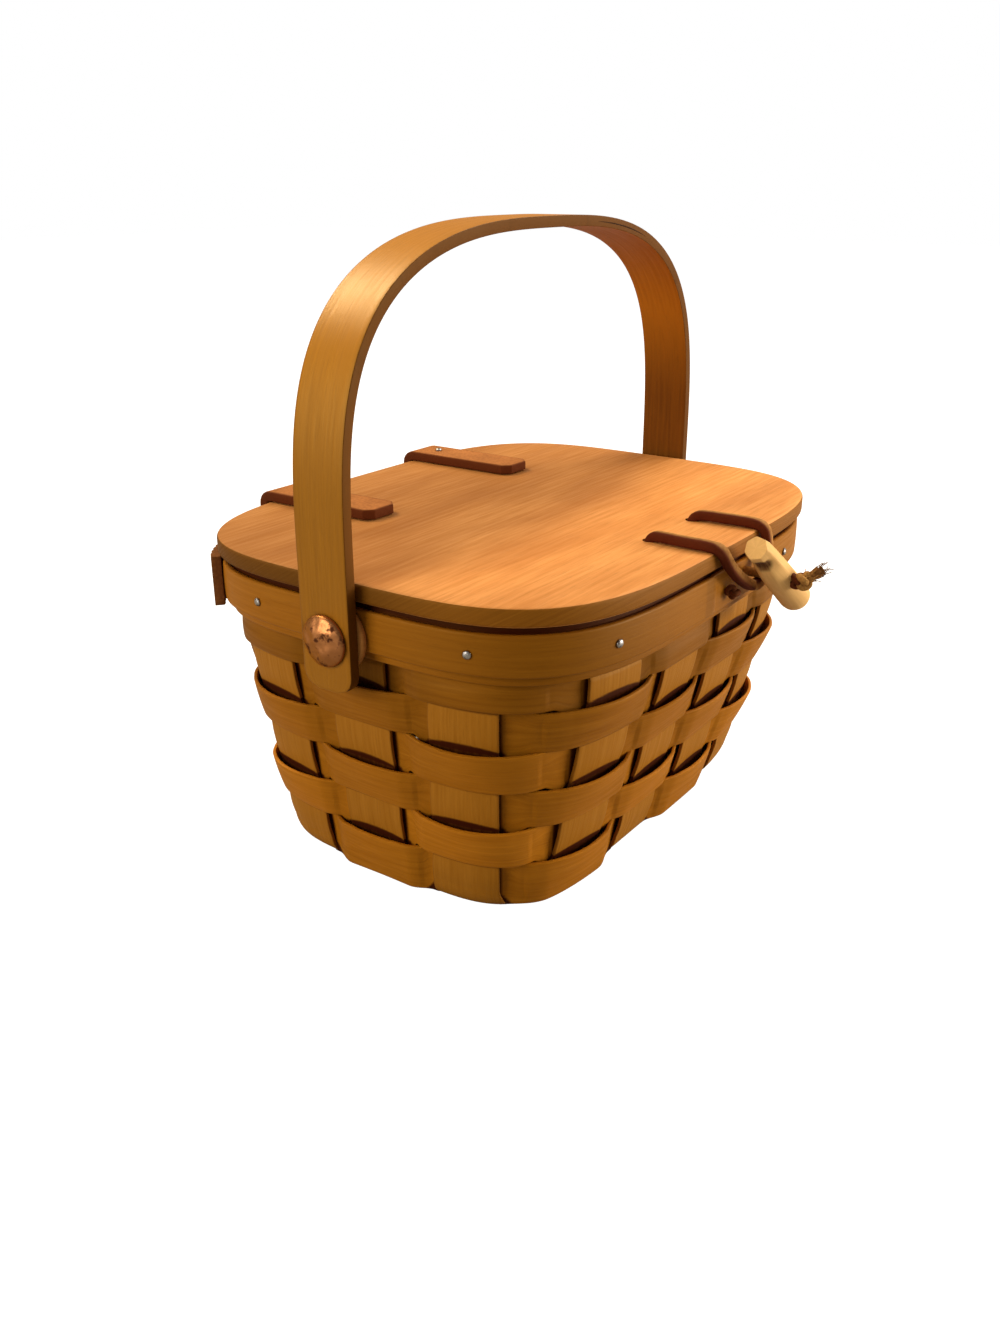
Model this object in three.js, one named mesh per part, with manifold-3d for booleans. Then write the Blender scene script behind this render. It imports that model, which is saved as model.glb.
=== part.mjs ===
// A splint basket purse: woven walls, a banded rim, a hinged wooden lid, a bentwood swing handle
// and a lace-and-peg closure. Millimetres, +Z up. The origin is on the floor under the middle of
// the base; the closure faces -Y, the hinges +Y, and the handle's rivets lie along X.

import * as THREE from 'three';
import { mergeVertices } from 'three/addons/utils/BufferGeometryUtils.js';
import Module from 'manifold-3d';

// Clearance left between any two pieces that touch on the real basket, and the most that a straight
// facet may stray from a curved outline
const CLEARANCE = 0.3;
const FACET_SAG = 0.17;

// Wall: the middle surface of the woven wall, a rounded rectangle that grows from base to rim
const BASE_LENGTH = 168;
const BASE_DEPTH = 111.2;
const RIM_LENGTH = 185;
const RIM_DEPTH = 145.8;
const BASE_SQUARENESS = 5;
const RIM_SQUARENESS = 4.2;
const RIM_ABOVE_WEAVE = 14.55;

// Upright splints: 3 run along X and 4 along Y, and each turns up both opposite walls
const SPLINT_WIDTH = 23;
const SPLINT_THICKNESS = 1.2;
const X_SPLINT_SPACING_BASE = 33;
const X_SPLINT_SPACING_RIM = 39;
const Y_SPLINT_INNER_BASE = 18;
const Y_SPLINT_INNER_RIM = 18.5;
const Y_SPLINT_SPACING_BASE = 37;
const Y_SPLINT_SPACING_RIM = 38;
const SPLINT_TOP_INSET = 1.7;
const BEND_RADIUS = 4.5;
const BASE_RAMP = 3.5;
const SPLINT_COLUMNS = 5;

// Weavers: a narrow one at the base and five wider rows above it
const WEAVER_THICKNESS = 1.2;
const WEAVER_WIDTH = 13.65;
const WEAVER_GAP = 0.4;
const WIDE_ROWS = 5;
const FIRST_WEAVER_BOTTOM = 7.5;
const FIRST_WEAVER_WIDTH = 10.4;
const WEAVE_MARGIN = 1.2;
const WEAVE_EASE_STEPS = 3;

// Rim: an inner and an outer band clamp the splints, and a trim band covers them
const BAND_THICKNESS = 1.6;
const BAND_HEIGHT = 18.4;
const TRIM_THICKNESS = 2;
const TRIM_HEIGHT = 13;
const TRIM_TOP_INSET = 2.2;

// Tacks: the places along each wall where the trim is nailed
const TACK_HEAD_RADIUS = 1.6;
const TACK_HEAD_HEIGHT = 0.9;
const TACK_SHANK_RADIUS = 0.6;
const TACKS_LEFT = [34.5, -43.5];
const TACKS_FRONT = [-62.5, 46.5];
const TACKS_RIGHT = [-36, 43.5];
const TACKS_BACK = [62, -62];

// Handle: a flat bentwood strip, square-shouldered, on one rivet at each end
const HANDLE_WIDTH = 19;
const HANDLE_THICKNESS = 3.6;
const HANDLE_RISE = 114.5;
const HANDLE_SQUARENESS_ACROSS = 2.9;
const HANDLE_SQUARENESS_UP = 3.38;
const HANDLE_ARCH_START = 20.8;
const HANDLE_TAIL = 16.2;
const HANDLE_CORNER = 6;
const HANDLE_STEPS = 40;
const PIVOT_DROP = 11.5;
const SPACER_RADIUS = 11;
const SPACER_THICKNESS = 2.3;
const RIVET_HEAD_RADIUS = 8;
const RIVET_HEAD_HEIGHT = 3.2;
const RIVET_SHANK_RADIUS = 2.5;
const RIVET_TAIL = 1;
const BURR_RADIUS = 5;
const BURR_THICKNESS = 1.5;

// Lid
const LID_THICKNESS = 6;
const LID_OVERHANG = 1.3;
const LID_EDGE_RADIUS = 1.2;

// Hinge straps
const STRAP_WIDTH = 15.5;
const STRAP_THICKNESS = 3.5;
const STRAP_CENTRE = 40.75;
const STRAP_LID_REACH = 49;
const STRAP_DROP = 29;
const STRAP_CHAMFER = 3;
const STRAP_TACK_INSET = 9;
const STRAP_TACK_DEPTH = 4;

// A leather tab at the back left corner of the rim
const TAB_BEARING = 141;
const TAB_WIDTH = 16;
const TAB_THICKNESS = 3.6;
const TAB_HEIGHT = 18.3;
const TAB_TOP_INSET = 0.9;

// Closure: lace, peg and thong
const LACE_RADIUS = 1.5;
const LACE_HOLE_CLEARANCE = 0.9;
const LACE_KNOT_RADIUS = 4;
const LACE_STEPS = 52;
const THONG_RADIUS = 1.6;
const THONG_HOLE_CLEARANCE = 0.6;
const THONG_KNOT_RADIUS = 2.8;
const THONG_STEPS = 32;
const PEG_TOP_RADIUS = 4.2;
const PEG_FOOT_RADIUS = 5.3;

// Places derived from the dimensions above
const splintHalf = SPLINT_THICKNESS / 2;
const weaveOffset = splintHalf + CLEARANCE + WEAVER_THICKNESS / 2;
const weaveReach = weaveOffset + WEAVER_THICKNESS / 2;
const weaverPitch = WEAVER_WIDTH + WEAVER_GAP;
const firstTop = FIRST_WEAVER_BOTTOM + FIRST_WEAVER_WIDTH;
const flareHeight = firstTop + WEAVER_GAP / 2 + (WIDE_ROWS - 1) * weaverPitch;
const wallTop = flareHeight + WEAVER_GAP / 2 + WEAVER_WIDTH + RIM_ABOVE_WEAVE;
const bandInner = weaveReach + CLEARANCE;
const bandOuter = bandInner + BAND_THICKNESS;
const trimInner = bandOuter + CLEARANCE;
const trimOuter = trimInner + TRIM_THICKNESS;
const bandBottom = wallTop - BAND_HEIGHT;
const trimTop = wallTop - TRIM_TOP_INSET;
const trimBottom = trimTop - TRIM_HEIGHT;
const tackHeight = (trimTop + trimBottom) / 2;
const pivotHeight = wallTop - PIVOT_DROP;
const handleTop = pivotHeight + HANDLE_RISE;
const lidBottom = wallTop + CLEARANCE;
const lidTop = lidBottom + LID_THICKNESS;
const lidOffset = trimOuter + LID_OVERHANG;
const spacerInner = RIM_LENGTH / 2 + trimOuter + CLEARANCE;
const handleInner = spacerInner + SPACER_THICKNESS + CLEARANCE;
const handleOuter = handleInner + HANDLE_THICKNESS;
const rivetSeat = handleOuter + CLEARANCE;
const burrSeat = RIM_LENGTH / 2 - bandOuter - CLEARANCE;
const rivetHole = RIVET_SHANK_RADIUS + CLEARANCE;
const tackHole = TACK_SHANK_RADIUS + CLEARANCE;

// Routes and places near the closure: along X, out from the face of the trim, up from the wall's top
const trimFace = RIM_DEPTH / 2 + trimOuter;
const nearClosure = ([x, out, up]) => new THREE.Vector3(x, -trimFace - out, wallTop + up);

const LACE_ROUTE = [
  [-13, -22.5, -4.2], [-13, -22.5, 1.3], [-13, -22.5, 5.7], [-13.2, -21.2, 8], [-13.8, -18, 8.4],
  [-14.4, -9, 8.3], [-14, -0.6, 8.3], [-12.6, 2.7, 7], [-10.5, 3.8, 3], [-6, 4.4, -1.6],
  [0, 4.8, -5.6], [5, 5, -8.4], [8.6, 5, -9.6], [11.8, 5, -9.9], [15, 5, -9],
  [17.6, 5, -6], [19.2, 4.6, -1.4], [20, 3.8, 3.3], [19.8, 2.7, 7], [19, -0.6, 8.3],
  [18.6, -9, 8.3], [17.8, -18, 8.4], [17.2, -21.2, 8], [17, -22.5, 5.7], [17, -22.5, 1.3],
  [17, -22.5, -4.2],
].map(nearClosure);

const THONG_ROUTE = [
  [11.8, -13.5, -6.2], [11.8, -7, -6.2], [11.8, 0, -6.2], [11.8, 6, -6.2], [11.8, 12.4, -6.2],
  [11.8, 17.4, -6.2], [12, 20.6, -5.9], [14, 22.8, -4.4], [16.4, 24.8, -2.8],
].map(nearClosure);

const pegTop = nearClosure([-5, 10.5, 7.3]);
const pegFoot = nearClosure([23, 13.6, -15.2]);
const pegHole = THONG_ROUTE[4];
const thongExit = THONG_ROUTE[1];

const COLUMN_SHARES = Array.from({ length: SPLINT_COLUMNS }, (_, i) => i / (SPLINT_COLUMNS - 1) - 0.5);
const UP = new THREE.Vector3(0, 0, 1);
const ALONG_X = new THREE.Vector3(1, 0, 0);
const ALONG_Y = new THREE.Vector3(0, 1, 0);

const wasm = await Module();
wasm.setup();

// Meshes and solids

// Keeps positions only, merges shared corners and drops triangles that closed up
function clean(geometry) {
  const bare = geometry.clone();
  for (const name of Object.keys(bare.attributes)) {
    if (name !== 'position') bare.deleteAttribute(name);
  }
  const merged = mergeVertices(bare, 1e-4);
  const source = merged.index.array;
  const kept = [];
  for (let i = 0; i < source.length; i += 3) {
    const [a, b, c] = [source[i], source[i + 1], source[i + 2]];
    if (a !== b && b !== c && c !== a) kept.push(a, b, c);
  }
  merged.setIndex(kept);
  return faceOutward(merged);
}

function faceOutward(geometry) {
  const position = geometry.attributes.position;
  const index = geometry.index.array;
  const corners = [new THREE.Vector3(), new THREE.Vector3(), new THREE.Vector3()];
  let volume = 0;
  for (let i = 0; i < index.length; i += 3) {
    corners.forEach((corner, k) => corner.fromBufferAttribute(position, index[i + k]));
    volume += corners[0].dot(corners[1].clone().cross(corners[2]));
  }
  if (volume < 0) {
    const flipped = [];
    for (let i = 0; i < index.length; i += 3) flipped.push(index[i], index[i + 2], index[i + 1]);
    geometry.setIndex(flipped);
  }
  return geometry;
}

function toSolid(geometry) {
  const bare = clean(geometry);
  return new wasm.Manifold(new wasm.Mesh({
    numProp: 3,
    vertProperties: new Float32Array(bare.attributes.position.array),
    triVerts: new Uint32Array(bare.index.array),
  }));
}

function toGeometry(solid) {
  const mesh = solid.getMesh();
  const geometry = new THREE.BufferGeometry();
  geometry.setAttribute('position', new THREE.BufferAttribute(new Float32Array(mesh.vertProperties), 3));
  geometry.setIndex(Array.from(mesh.triVerts));
  return geometry;
}

function cut(geometry, cutters) {
  return toGeometry(cutters.reduce((solid, cutter) => solid.subtract(toSolid(cutter)), toSolid(geometry)));
}

function join(geometries) {
  return toGeometry(geometries.map(toSolid).reduce((solid, other) => solid.add(other)));
}

// Skins a row of equal rings of corners; an open row is capped by quads across each end ring
function loft(rings, closed) {
  const size = rings[0].length;
  const index = [];
  const last = closed ? rings.length : rings.length - 1;
  for (let i = 0; i < last; i += 1) {
    const next = (i + 1) % rings.length;
    for (let j = 0; j < size; j += 1) {
      const k = (j + 1) % size;
      const [a, b] = [i * size + j, i * size + k];
      const [c, d] = [next * size + k, next * size + j];
      index.push(a, b, c, a, c, d);
    }
  }
  if (!closed) {
    const end = (rings.length - 1) * size;
    for (let j = 0; j < size / 2 - 1; j += 1) {
      const [a, b, c, d] = [j, j + 1, size - 2 - j, size - 1 - j];
      index.push(a, c, b, a, d, c);
      index.push(end + a, end + b, end + c, end + a, end + c, end + d);
    }
  }
  const geometry = new THREE.BufferGeometry().setFromPoints(rings.flat());
  geometry.setIndex(index);
  return faceOutward(geometry);
}

// A turned piece along +Z from a profile of [radius, height] pairs
function turned(profile, segments) {
  const points = profile.map(([radius, height]) => new THREE.Vector2(radius, height));
  return clean(new THREE.LatheGeometry(points, segments).rotateX(Math.PI / 2));
}

function turnTo(direction) {
  return new THREE.Quaternion().setFromUnitVectors(UP, direction.clone().normalize());
}

function drill(centre, direction, radius, length, sides) {
  const cylinder = new THREE.CylinderGeometry(radius, radius, length, sides).rotateX(Math.PI / 2);
  return cylinder.applyQuaternion(turnTo(direction)).translate(centre.x, centre.y, centre.z);
}

function cord(points, radius, steps) {
  const curve = new THREE.CatmullRomCurve3(points, false, 'centripetal');
  const section = new THREE.Shape();
  const sides = 8;
  for (let i = 0; i < sides; i += 1) {
    const angle = (i / sides) * 2 * Math.PI;
    const [x, y] = [radius * Math.cos(angle), radius * Math.sin(angle)];
    if (i === 0) section.moveTo(x, y);
    else section.lineTo(x, y);
  }
  section.closePath();
  return clean(new THREE.ExtrudeGeometry(section, { steps, extrudePath: curve, curveSegments: 1 }));
}

function knot(centre, radius) {
  return new THREE.SphereGeometry(radius, 12, 8).translate(centre.x, centre.y, centre.z);
}

// The wall's outline

function outlineAt(height) {
  const share = Math.min(Math.max(height / flareHeight, 0), 1);
  return {
    halfX: THREE.MathUtils.lerp(BASE_LENGTH, RIM_LENGTH, share) / 2,
    halfY: THREE.MathUtils.lerp(BASE_DEPTH, RIM_DEPTH, share) / 2,
    squareness: THREE.MathUtils.lerp(BASE_SQUARENESS, RIM_SQUARENESS, share),
  };
}

// The point of an outline at a bearing from its middle, moved out along its normal
function outlinePoint(outline, bearing, offset, height) {
  const { halfX, halfY, squareness } = outline;
  const [cos, sin] = [Math.cos(bearing), Math.sin(bearing)];
  const sum = Math.abs(cos / halfX) ** squareness + Math.abs(sin / halfY) ** squareness;
  const [x, y] = [cos * sum ** (-1 / squareness), sin * sum ** (-1 / squareness)];
  const normal = outlineNormal(outline, x, y);
  return new THREE.Vector3(x + normal.x * offset, y + normal.y * offset, height);
}

function outlineNormal({ halfX, halfY, squareness }, x, y) {
  const nx = (Math.sign(x) * Math.abs(x / halfX) ** (squareness - 1)) / halfX;
  const ny = (Math.sign(y) * Math.abs(y / halfY) ** (squareness - 1)) / halfY;
  return new THREE.Vector3(nx, ny, 0).normalize();
}

// How far an outline reaches along one axis at a given place across it
function outlineReach({ halfX, halfY, squareness }, axis, lateral) {
  const [reach, across] = axis === 'x' ? [halfX, halfY] : [halfY, halfX];
  return reach * (1 - Math.min(Math.abs(lateral / across), 1) ** squareness) ** (1 / squareness);
}

// The bearing after a walk of so many millimetres along an outline, anticlockwise from above
function walk(outline, bearing, distance) {
  const steps = Math.max(8, Math.ceil(Math.abs(distance) * 4));
  const nudge = 1e-4;
  let here = bearing;
  for (let i = 0; i < steps; i += 1) {
    const before = outlinePoint(outline, here - nudge, 0, 0);
    const speed = outlinePoint(outline, here + nudge, 0, 0).distanceTo(before) / (2 * nudge);
    here += distance / steps / speed;
  }
  return here;
}

function arcLength(outline, from, to) {
  const steps = Math.max(8, Math.ceil((to - from) * 120));
  let total = 0;
  let before = outlinePoint(outline, from, 0, 0);
  for (let i = 1; i <= steps; i += 1) {
    const after = outlinePoint(outline, from + ((to - from) * i) / steps, 0, 0);
    total += after.distanceTo(before);
    before = after;
  }
  return total;
}

// Bearings along a stretch of outline, without its last, close enough for facets between them
function bearingsAlong(outline, from, to) {
  const middle = (from + to) / 2;
  const [start, end] = [outlinePoint(outline, from, 0, 0), outlinePoint(outline, to, 0, 0)];
  const chord = new THREE.Line3(start, end);
  const point = outlinePoint(outline, middle, 0, 0);
  const sag = chord.closestPointToPoint(point, true, new THREE.Vector3()).distanceTo(point);
  if (sag < FACET_SAG) return [from];
  return [...bearingsAlong(outline, from, middle), ...bearingsAlong(outline, middle, to)];
}

const rimOutline = outlineAt(wallTop);
const rimBearings = [0, 1, 2, 3].flatMap(
  (quarter) => bearingsAlong(rimOutline, (quarter * Math.PI) / 2, ((quarter + 1) * Math.PI) / 2),
);

// Upright splints

// Lateral place of each splint at the base and at the rim
const xSplints = [-1, 0, 1].map((step) => ({
  axis: 'x',
  base: step * X_SPLINT_SPACING_BASE,
  rim: step * X_SPLINT_SPACING_RIM,
}));
const ySplints = [-2, -1, 1, 2].map((step) => {
  const outer = Math.abs(step) - 1;
  return {
    axis: 'y',
    base: Math.sign(step) * (Y_SPLINT_INNER_BASE + outer * Y_SPLINT_SPACING_BASE),
    rim: Math.sign(step) * (Y_SPLINT_INNER_RIM + outer * Y_SPLINT_SPACING_RIM),
  };
});

function lateralAt(splint, height) {
  return THREE.MathUtils.lerp(splint.base, splint.rim, Math.min(height / flareHeight, 1));
}

// The bearing where a splint's middle line crosses the outline on one side of the basket
function splintBearing(splint, side, height) {
  const outline = outlineAt(height);
  const lateral = lateralAt(splint, height);
  const reach = side * outlineReach(outline, splint.axis, lateral);
  const bearing = splint.axis === 'x' ? Math.atan2(lateral, reach) : Math.atan2(reach, lateral);
  return bearing < -1e-9 ? bearing + 2 * Math.PI : bearing;
}

function wallStation(splint, side, height) {
  const outline = outlineAt(height);
  const bearing = splintBearing(splint, side, height);
  const turn = splint.axis === 'x' ? side : -side;
  return COLUMN_SHARES.map((share) => {
    const there = walk(outline, bearing, turn * share * SPLINT_WIDTH);
    return outlinePoint(outline, there, 0, height);
  });
}

function basePoint(splint, run, lateral, height) {
  return splint.axis === 'x'
    ? new THREE.Vector3(run, lateral, height)
    : new THREE.Vector3(lateral, run, height);
}

const LOW = splintHalf;
const HIGH = LOW + SPLINT_THICKNESS + CLEARANCE;

// Places along the base where a splint changes level: it lies low and ramps up to pass over a crossing
function baseLevels(crossings) {
  const half = SPLINT_WIDTH / 2 + WEAVE_MARGIN;
  const last = crossings.length - 1;
  const levels = [];
  crossings.forEach(({ place, over }, i) => {
    const level = over ? HIGH : LOW;
    if (over && i > 0) levels.push([place - half - BASE_RAMP, LOW]);
    levels.push([place - half, level], [place + half, level]);
    if (over && i < last) levels.push([place + half + BASE_RAMP, LOW]);
  });
  return levels;
}

// The turn from the base up to the wall, which starts on the level of the outermost crossing
function bendStations(splint, side, level) {
  const wallFoot = wallStation(splint, side, HIGH + BEND_RADIUS);
  const floorOutline = outlineAt(0);
  return [0, 0.25, 0.5, 0.75, 1].map((t) => COLUMN_SHARES.map((share, column) => {
    const lateral = splint.base + share * SPLINT_WIDTH;
    const edge = side * outlineReach(floorOutline, splint.axis, lateral);
    const start = basePoint(splint, edge - side * BEND_RADIUS, lateral, level);
    const corner = basePoint(splint, edge, lateral, level);
    return new THREE.QuadraticBezierCurve3(start, corner, wallFoot[column]).getPoint(t);
  }));
}

function wallStations(splint, side) {
  const top = wallTop - SPLINT_TOP_INSET;
  const heights = [flareHeight / 3, (2 * flareHeight) / 3, flareHeight, top];
  return heights.map((height) => wallStation(splint, side, height));
}

function splintGeometry(splint, crossings) {
  const levels = baseLevels(crossings);
  const flat = levels.map(([run, level]) => COLUMN_SHARES.map(
    (share) => basePoint(splint, run, splint.base + share * SPLINT_WIDTH, level),
  ));
  const stations = [
    ...wallStations(splint, -1).reverse(),
    ...bendStations(splint, -1, levels[0][1]).reverse(),
    ...flat,
    ...bendStations(splint, 1, levels[levels.length - 1][1]),
    ...wallStations(splint, 1),
  ];
  return sheet(stations, SPLINT_THICKNESS);
}

// Thickens a grid of points evenly to both sides
function sheet(grid, thickness) {
  const pick = (list, i) => list[Math.min(Math.max(i, 0), list.length - 1)];
  const rings = grid.map((row, i) => {
    const normals = row.map((_, j) => {
      const along = pick(grid, i + 1)[j].clone().sub(pick(grid, i - 1)[j]);
      const across = pick(row, j + 1).clone().sub(pick(row, j - 1));
      return across.cross(along).normalize().multiplyScalar(thickness / 2);
    });
    const front = row.map((point, j) => point.clone().add(normals[j]));
    const back = row.map((point, j) => point.clone().sub(normals[j]));
    return [...front, ...back.reverse()];
  });
  return loft(rings, false);
}

// Weavers and bands

const uprights = [...xSplints, ...ySplints].flatMap((splint) => [-1, 1].map((side) => ({ splint, side })));

// A ring of flat splint that passes in front of every second upright and behind the others
function weaverGeometry(row, bottom, top) {
  const middle = (bottom + top) / 2;
  const outline = outlineAt(middle);
  const half = SPLINT_WIDTH / 2 + WEAVE_MARGIN;
  const crossings = uprights
    .map(({ splint, side }) => splintBearing(splint, side, middle))
    .sort((a, b) => a - b)
    .map((bearing, i) => ({
      from: walk(outline, bearing, -half),
      to: walk(outline, bearing, half),
      offset: (i + row) % 2 === 0 ? weaveOffset : -weaveOffset,
    }));
  const stations = crossings.flatMap((crossing, i) => {
    const next = crossings[(i + 1) % crossings.length];
    const nextFrom = next.from + (i + 1 === crossings.length ? 2 * Math.PI : 0);
    return [
      ...weaverRun(outline, crossing.from, crossing.to, crossing.offset, crossing.offset),
      ...weaverRun(outline, crossing.to, nextFrom, crossing.offset, next.offset),
    ];
  });
  return ringLoft(stations, bottom, top, WEAVER_THICKNESS);
}

// Stations of one stretch of a weaver, without its last, that ease from one offset to another
function weaverRun(outline, from, to, startOffset, endOffset) {
  const length = arcLength(outline, from, to);
  const curved = bearingsAlong(outline, from, to);
  const steps = Math.max(WEAVE_EASE_STEPS, curved.length);
  const bearings = startOffset === endOffset
    ? curved
    : Array.from({ length: steps }, (_, i) => walk(outline, from, (length * i) / steps));
  return bearings.map((bearing) => {
    const share = arcLength(outline, from, bearing) / length;
    const eased = THREE.MathUtils.smoothstep(share, 0, 1);
    return { bearing, offset: THREE.MathUtils.lerp(startOffset, endOffset, eased) };
  });
}

function ringLoft(stations, bottom, top, thickness) {
  const rings = stations.map(({ bearing, offset }) => {
    const [low, high] = [outlineAt(bottom), outlineAt(top)];
    const [inner, outer] = [offset - thickness / 2, offset + thickness / 2];
    return [
      outlinePoint(low, bearing, inner, bottom),
      outlinePoint(low, bearing, outer, bottom),
      outlinePoint(high, bearing, outer, top),
      outlinePoint(high, bearing, inner, top),
    ];
  });
  return loft(rings, true);
}

function bandGeometry(inner, outer, bottom, top) {
  const stations = rimBearings.map((bearing) => ({ bearing, offset: (inner + outer) / 2 }));
  return ringLoft(stations, bottom, top, outer - inner);
}

// Where things go through the rim

function rimPlace(bearing, height) {
  const point = outlinePoint(rimOutline, bearing, 0, height);
  return { point, normal: outlineNormal(rimOutline, point.x, point.y), bearing };
}

function rimPlaceOn(axis, side, lateral, height) {
  const reach = side * outlineReach(rimOutline, axis, lateral);
  const bearing = axis === 'x' ? Math.atan2(lateral, reach) : Math.atan2(reach, lateral);
  return rimPlace(bearing, height);
}

const rimTacks = [
  ...TACKS_LEFT.map((y) => rimPlaceOn('x', -1, y, tackHeight)),
  ...TACKS_FRONT.map((x) => rimPlaceOn('y', -1, x, tackHeight)),
  ...TACKS_RIGHT.map((y) => rimPlaceOn('x', 1, y, tackHeight)),
  ...TACKS_BACK.map((x) => rimPlaceOn('y', 1, x, tackHeight)),
];
const tabTack = rimPlace(THREE.MathUtils.degToRad(TAB_BEARING), tackHeight);
const sides = [{ name: 'left', sign: -1 }, { name: 'right', sign: 1 }];
const strapTacks = sides.map(({ sign }) => {
  const reach = outlineReach(rimOutline, 'y', STRAP_CENTRE);
  const point = new THREE.Vector3(sign * STRAP_CENTRE, reach, tackHeight);
  return { point, normal: ALONG_Y.clone() };
});

const tackDrills = [...rimTacks, tabTack, ...strapTacks].map(({ point, normal }) => {
  const face = point.clone().addScaledVector(normal, trimOuter);
  return drill(face, normal, tackHole, 2 * (trimOuter - bandInner), 8);
});
const rivetDrill = drill(new THREE.Vector3(0, 0, pivotHeight), ALONG_X, rivetHole, 3 * RIM_LENGTH, 16);
const thongDrill = drill(thongExit, ALONG_Y, THONG_RADIUS + THONG_HOLE_CLEARANCE, 4 * trimOuter, 12);

// Handle

// The arch's outer edge, from the left tail over the top to the right one
function handlePath() {
  const start = pivotHeight + HANDLE_ARCH_START;
  const rise = handleTop - start - HANDLE_THICKNESS / 2;
  const span = (handleInner + handleOuter) / 2;
  const tail = pivotHeight - HANDLE_TAIL;
  const leg = [0, 0.15, 0.4, 1].map((t) => new THREE.Vector3(-span, 0, tail + t * HANDLE_CORNER));
  const arch = Array.from({ length: HANDLE_STEPS + 1 }, (_, i) => {
    const angle = Math.PI * (1 - i / HANDLE_STEPS);
    const across = Math.abs(Math.cos(angle)) ** (2 / HANDLE_SQUARENESS_ACROSS);
    const up = Math.abs(Math.sin(angle)) ** (2 / HANDLE_SQUARENESS_UP);
    return new THREE.Vector3(Math.sign(Math.cos(angle)) * across * span, 0, start + up * rise);
  });
  const otherLeg = leg.map((point) => new THREE.Vector3(-point.x, 0, point.z)).reverse();
  return [...leg, ...arch, ...otherLeg].filter(
    (point, i, all) => i === 0 || point.distanceTo(all[i - 1]) > 0.1,
  );
}

function handleGeometry() {
  const path = handlePath();
  const tail = pivotHeight - HANDLE_TAIL;
  const rings = path.map((point, i) => {
    const after = path[Math.min(i + 1, path.length - 1)];
    const tangent = after.clone().sub(path[Math.max(i - 1, 0)]).normalize();
    const normal = new THREE.Vector3(-tangent.z, 0, tangent.x).multiplyScalar(HANDLE_THICKNESS / 2);
    const fromEnd = Math.min(point.z - tail, HANDLE_CORNER);
    const round = Math.sqrt(HANDLE_CORNER ** 2 - (HANDLE_CORNER - fromEnd) ** 2);
    const half = HANDLE_WIDTH / 2 - HANDLE_CORNER + round;
    const corner = (side, face) => point.clone()
      .addScaledVector(ALONG_Y, side * half)
      .addScaledVector(normal, face);
    return [corner(-1, 1), corner(1, 1), corner(1, -1), corner(-1, -1)];
  });
  return cut(loft(rings, false), [rivetDrill]);
}

// Lid, straps and tab

function lidGeometry(holes) {
  const level = (inset, height) => rimBearings.map(
    (bearing) => outlinePoint(rimOutline, bearing, lidOffset - inset, height),
  );
  const corner = LID_EDGE_RADIUS * (1 - Math.SQRT1_2);
  const rings = [
    level(LID_EDGE_RADIUS, lidBottom),
    level(0, lidBottom + LID_EDGE_RADIUS),
    level(0, lidTop - LID_EDGE_RADIUS),
    level(corner, lidTop - corner),
    level(LID_EDGE_RADIUS, lidTop),
  ];
  return cut(loft(rings, false), holes);
}

// A strap runs from the lid's top over its back edge and down the trim
function strapPath() {
  const back = outlineReach(rimOutline, 'y', STRAP_CENTRE - STRAP_WIDTH / 2);
  const half = STRAP_THICKNESS / 2;
  const top = lidTop + CLEARANCE + half;
  const edge = back + lidOffset + CLEARANCE + half;
  const turn = half + CLEARANCE + LID_EDGE_RADIUS;
  const front = back + lidOffset - STRAP_LID_REACH;
  const wall = back + trimOuter + CLEARANCE + half;
  const foot = lidTop - STRAP_DROP;
  const bend = [0, 0.25, 0.5, 0.75, 1].map((t) => {
    const angle = (t * Math.PI) / 2;
    return [edge - turn + turn * Math.sin(angle), top - turn + turn * Math.cos(angle)];
  });
  return [
    [front, top],
    [front + STRAP_CHAMFER, top],
    ...bend,
    [edge, lidBottom],
    [wall, trimTop - STRAP_CHAMFER],
    [wall, foot + STRAP_CHAMFER],
    [wall, foot],
  ];
}

function strapGeometry(sign, drills) {
  const path = strapPath();
  const rings = path.map(([y, z], i) => {
    const before = path[Math.max(i - 1, 0)];
    const after = path[Math.min(i + 1, path.length - 1)];
    const tangent = new THREE.Vector3(0, after[0] - before[0], after[1] - before[1]).normalize();
    const normal = new THREE.Vector3(0, -tangent.z, tangent.y).multiplyScalar(STRAP_THICKNESS / 2);
    const ends = i === 0 || i === path.length - 1;
    const half = STRAP_WIDTH / 2 - (ends ? STRAP_CHAMFER : 0);
    const corner = (side, face) => {
      const middle = new THREE.Vector3(sign * STRAP_CENTRE + side * half, y, z);
      return middle.addScaledVector(normal, face);
    };
    return [corner(-1, 1), corner(1, 1), corner(1, -1), corner(-1, -1)];
  });
  return cut(loft(rings, false), drills);
}

function tabGeometry() {
  const middle = THREE.MathUtils.degToRad(TAB_BEARING);
  const top = wallTop - TAB_TOP_INSET;
  const inner = trimOuter + CLEARANCE;
  const rings = [-0.5, -0.25, 0, 0.25, 0.5].map((share) => {
    const bearing = walk(rimOutline, middle, share * TAB_WIDTH);
    const corner = (offset, height) => outlinePoint(rimOutline, bearing, offset, height);
    const outer = inner + TAB_THICKNESS;
    const bottom = top - TAB_HEIGHT;
    return [corner(inner, bottom), corner(outer, bottom), corner(outer, top), corner(inner, top)];
  });
  const seat = tabTack.point.clone().addScaledVector(tabTack.normal, inner);
  const hole = drill(seat, tabTack.normal, tackHole, 3 * TAB_THICKNESS, 8);
  return cut(loft(rings, false), [hole]);
}

// Tacks and rivets, modelled with the seat of the head at height 0 and the shank below it

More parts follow.
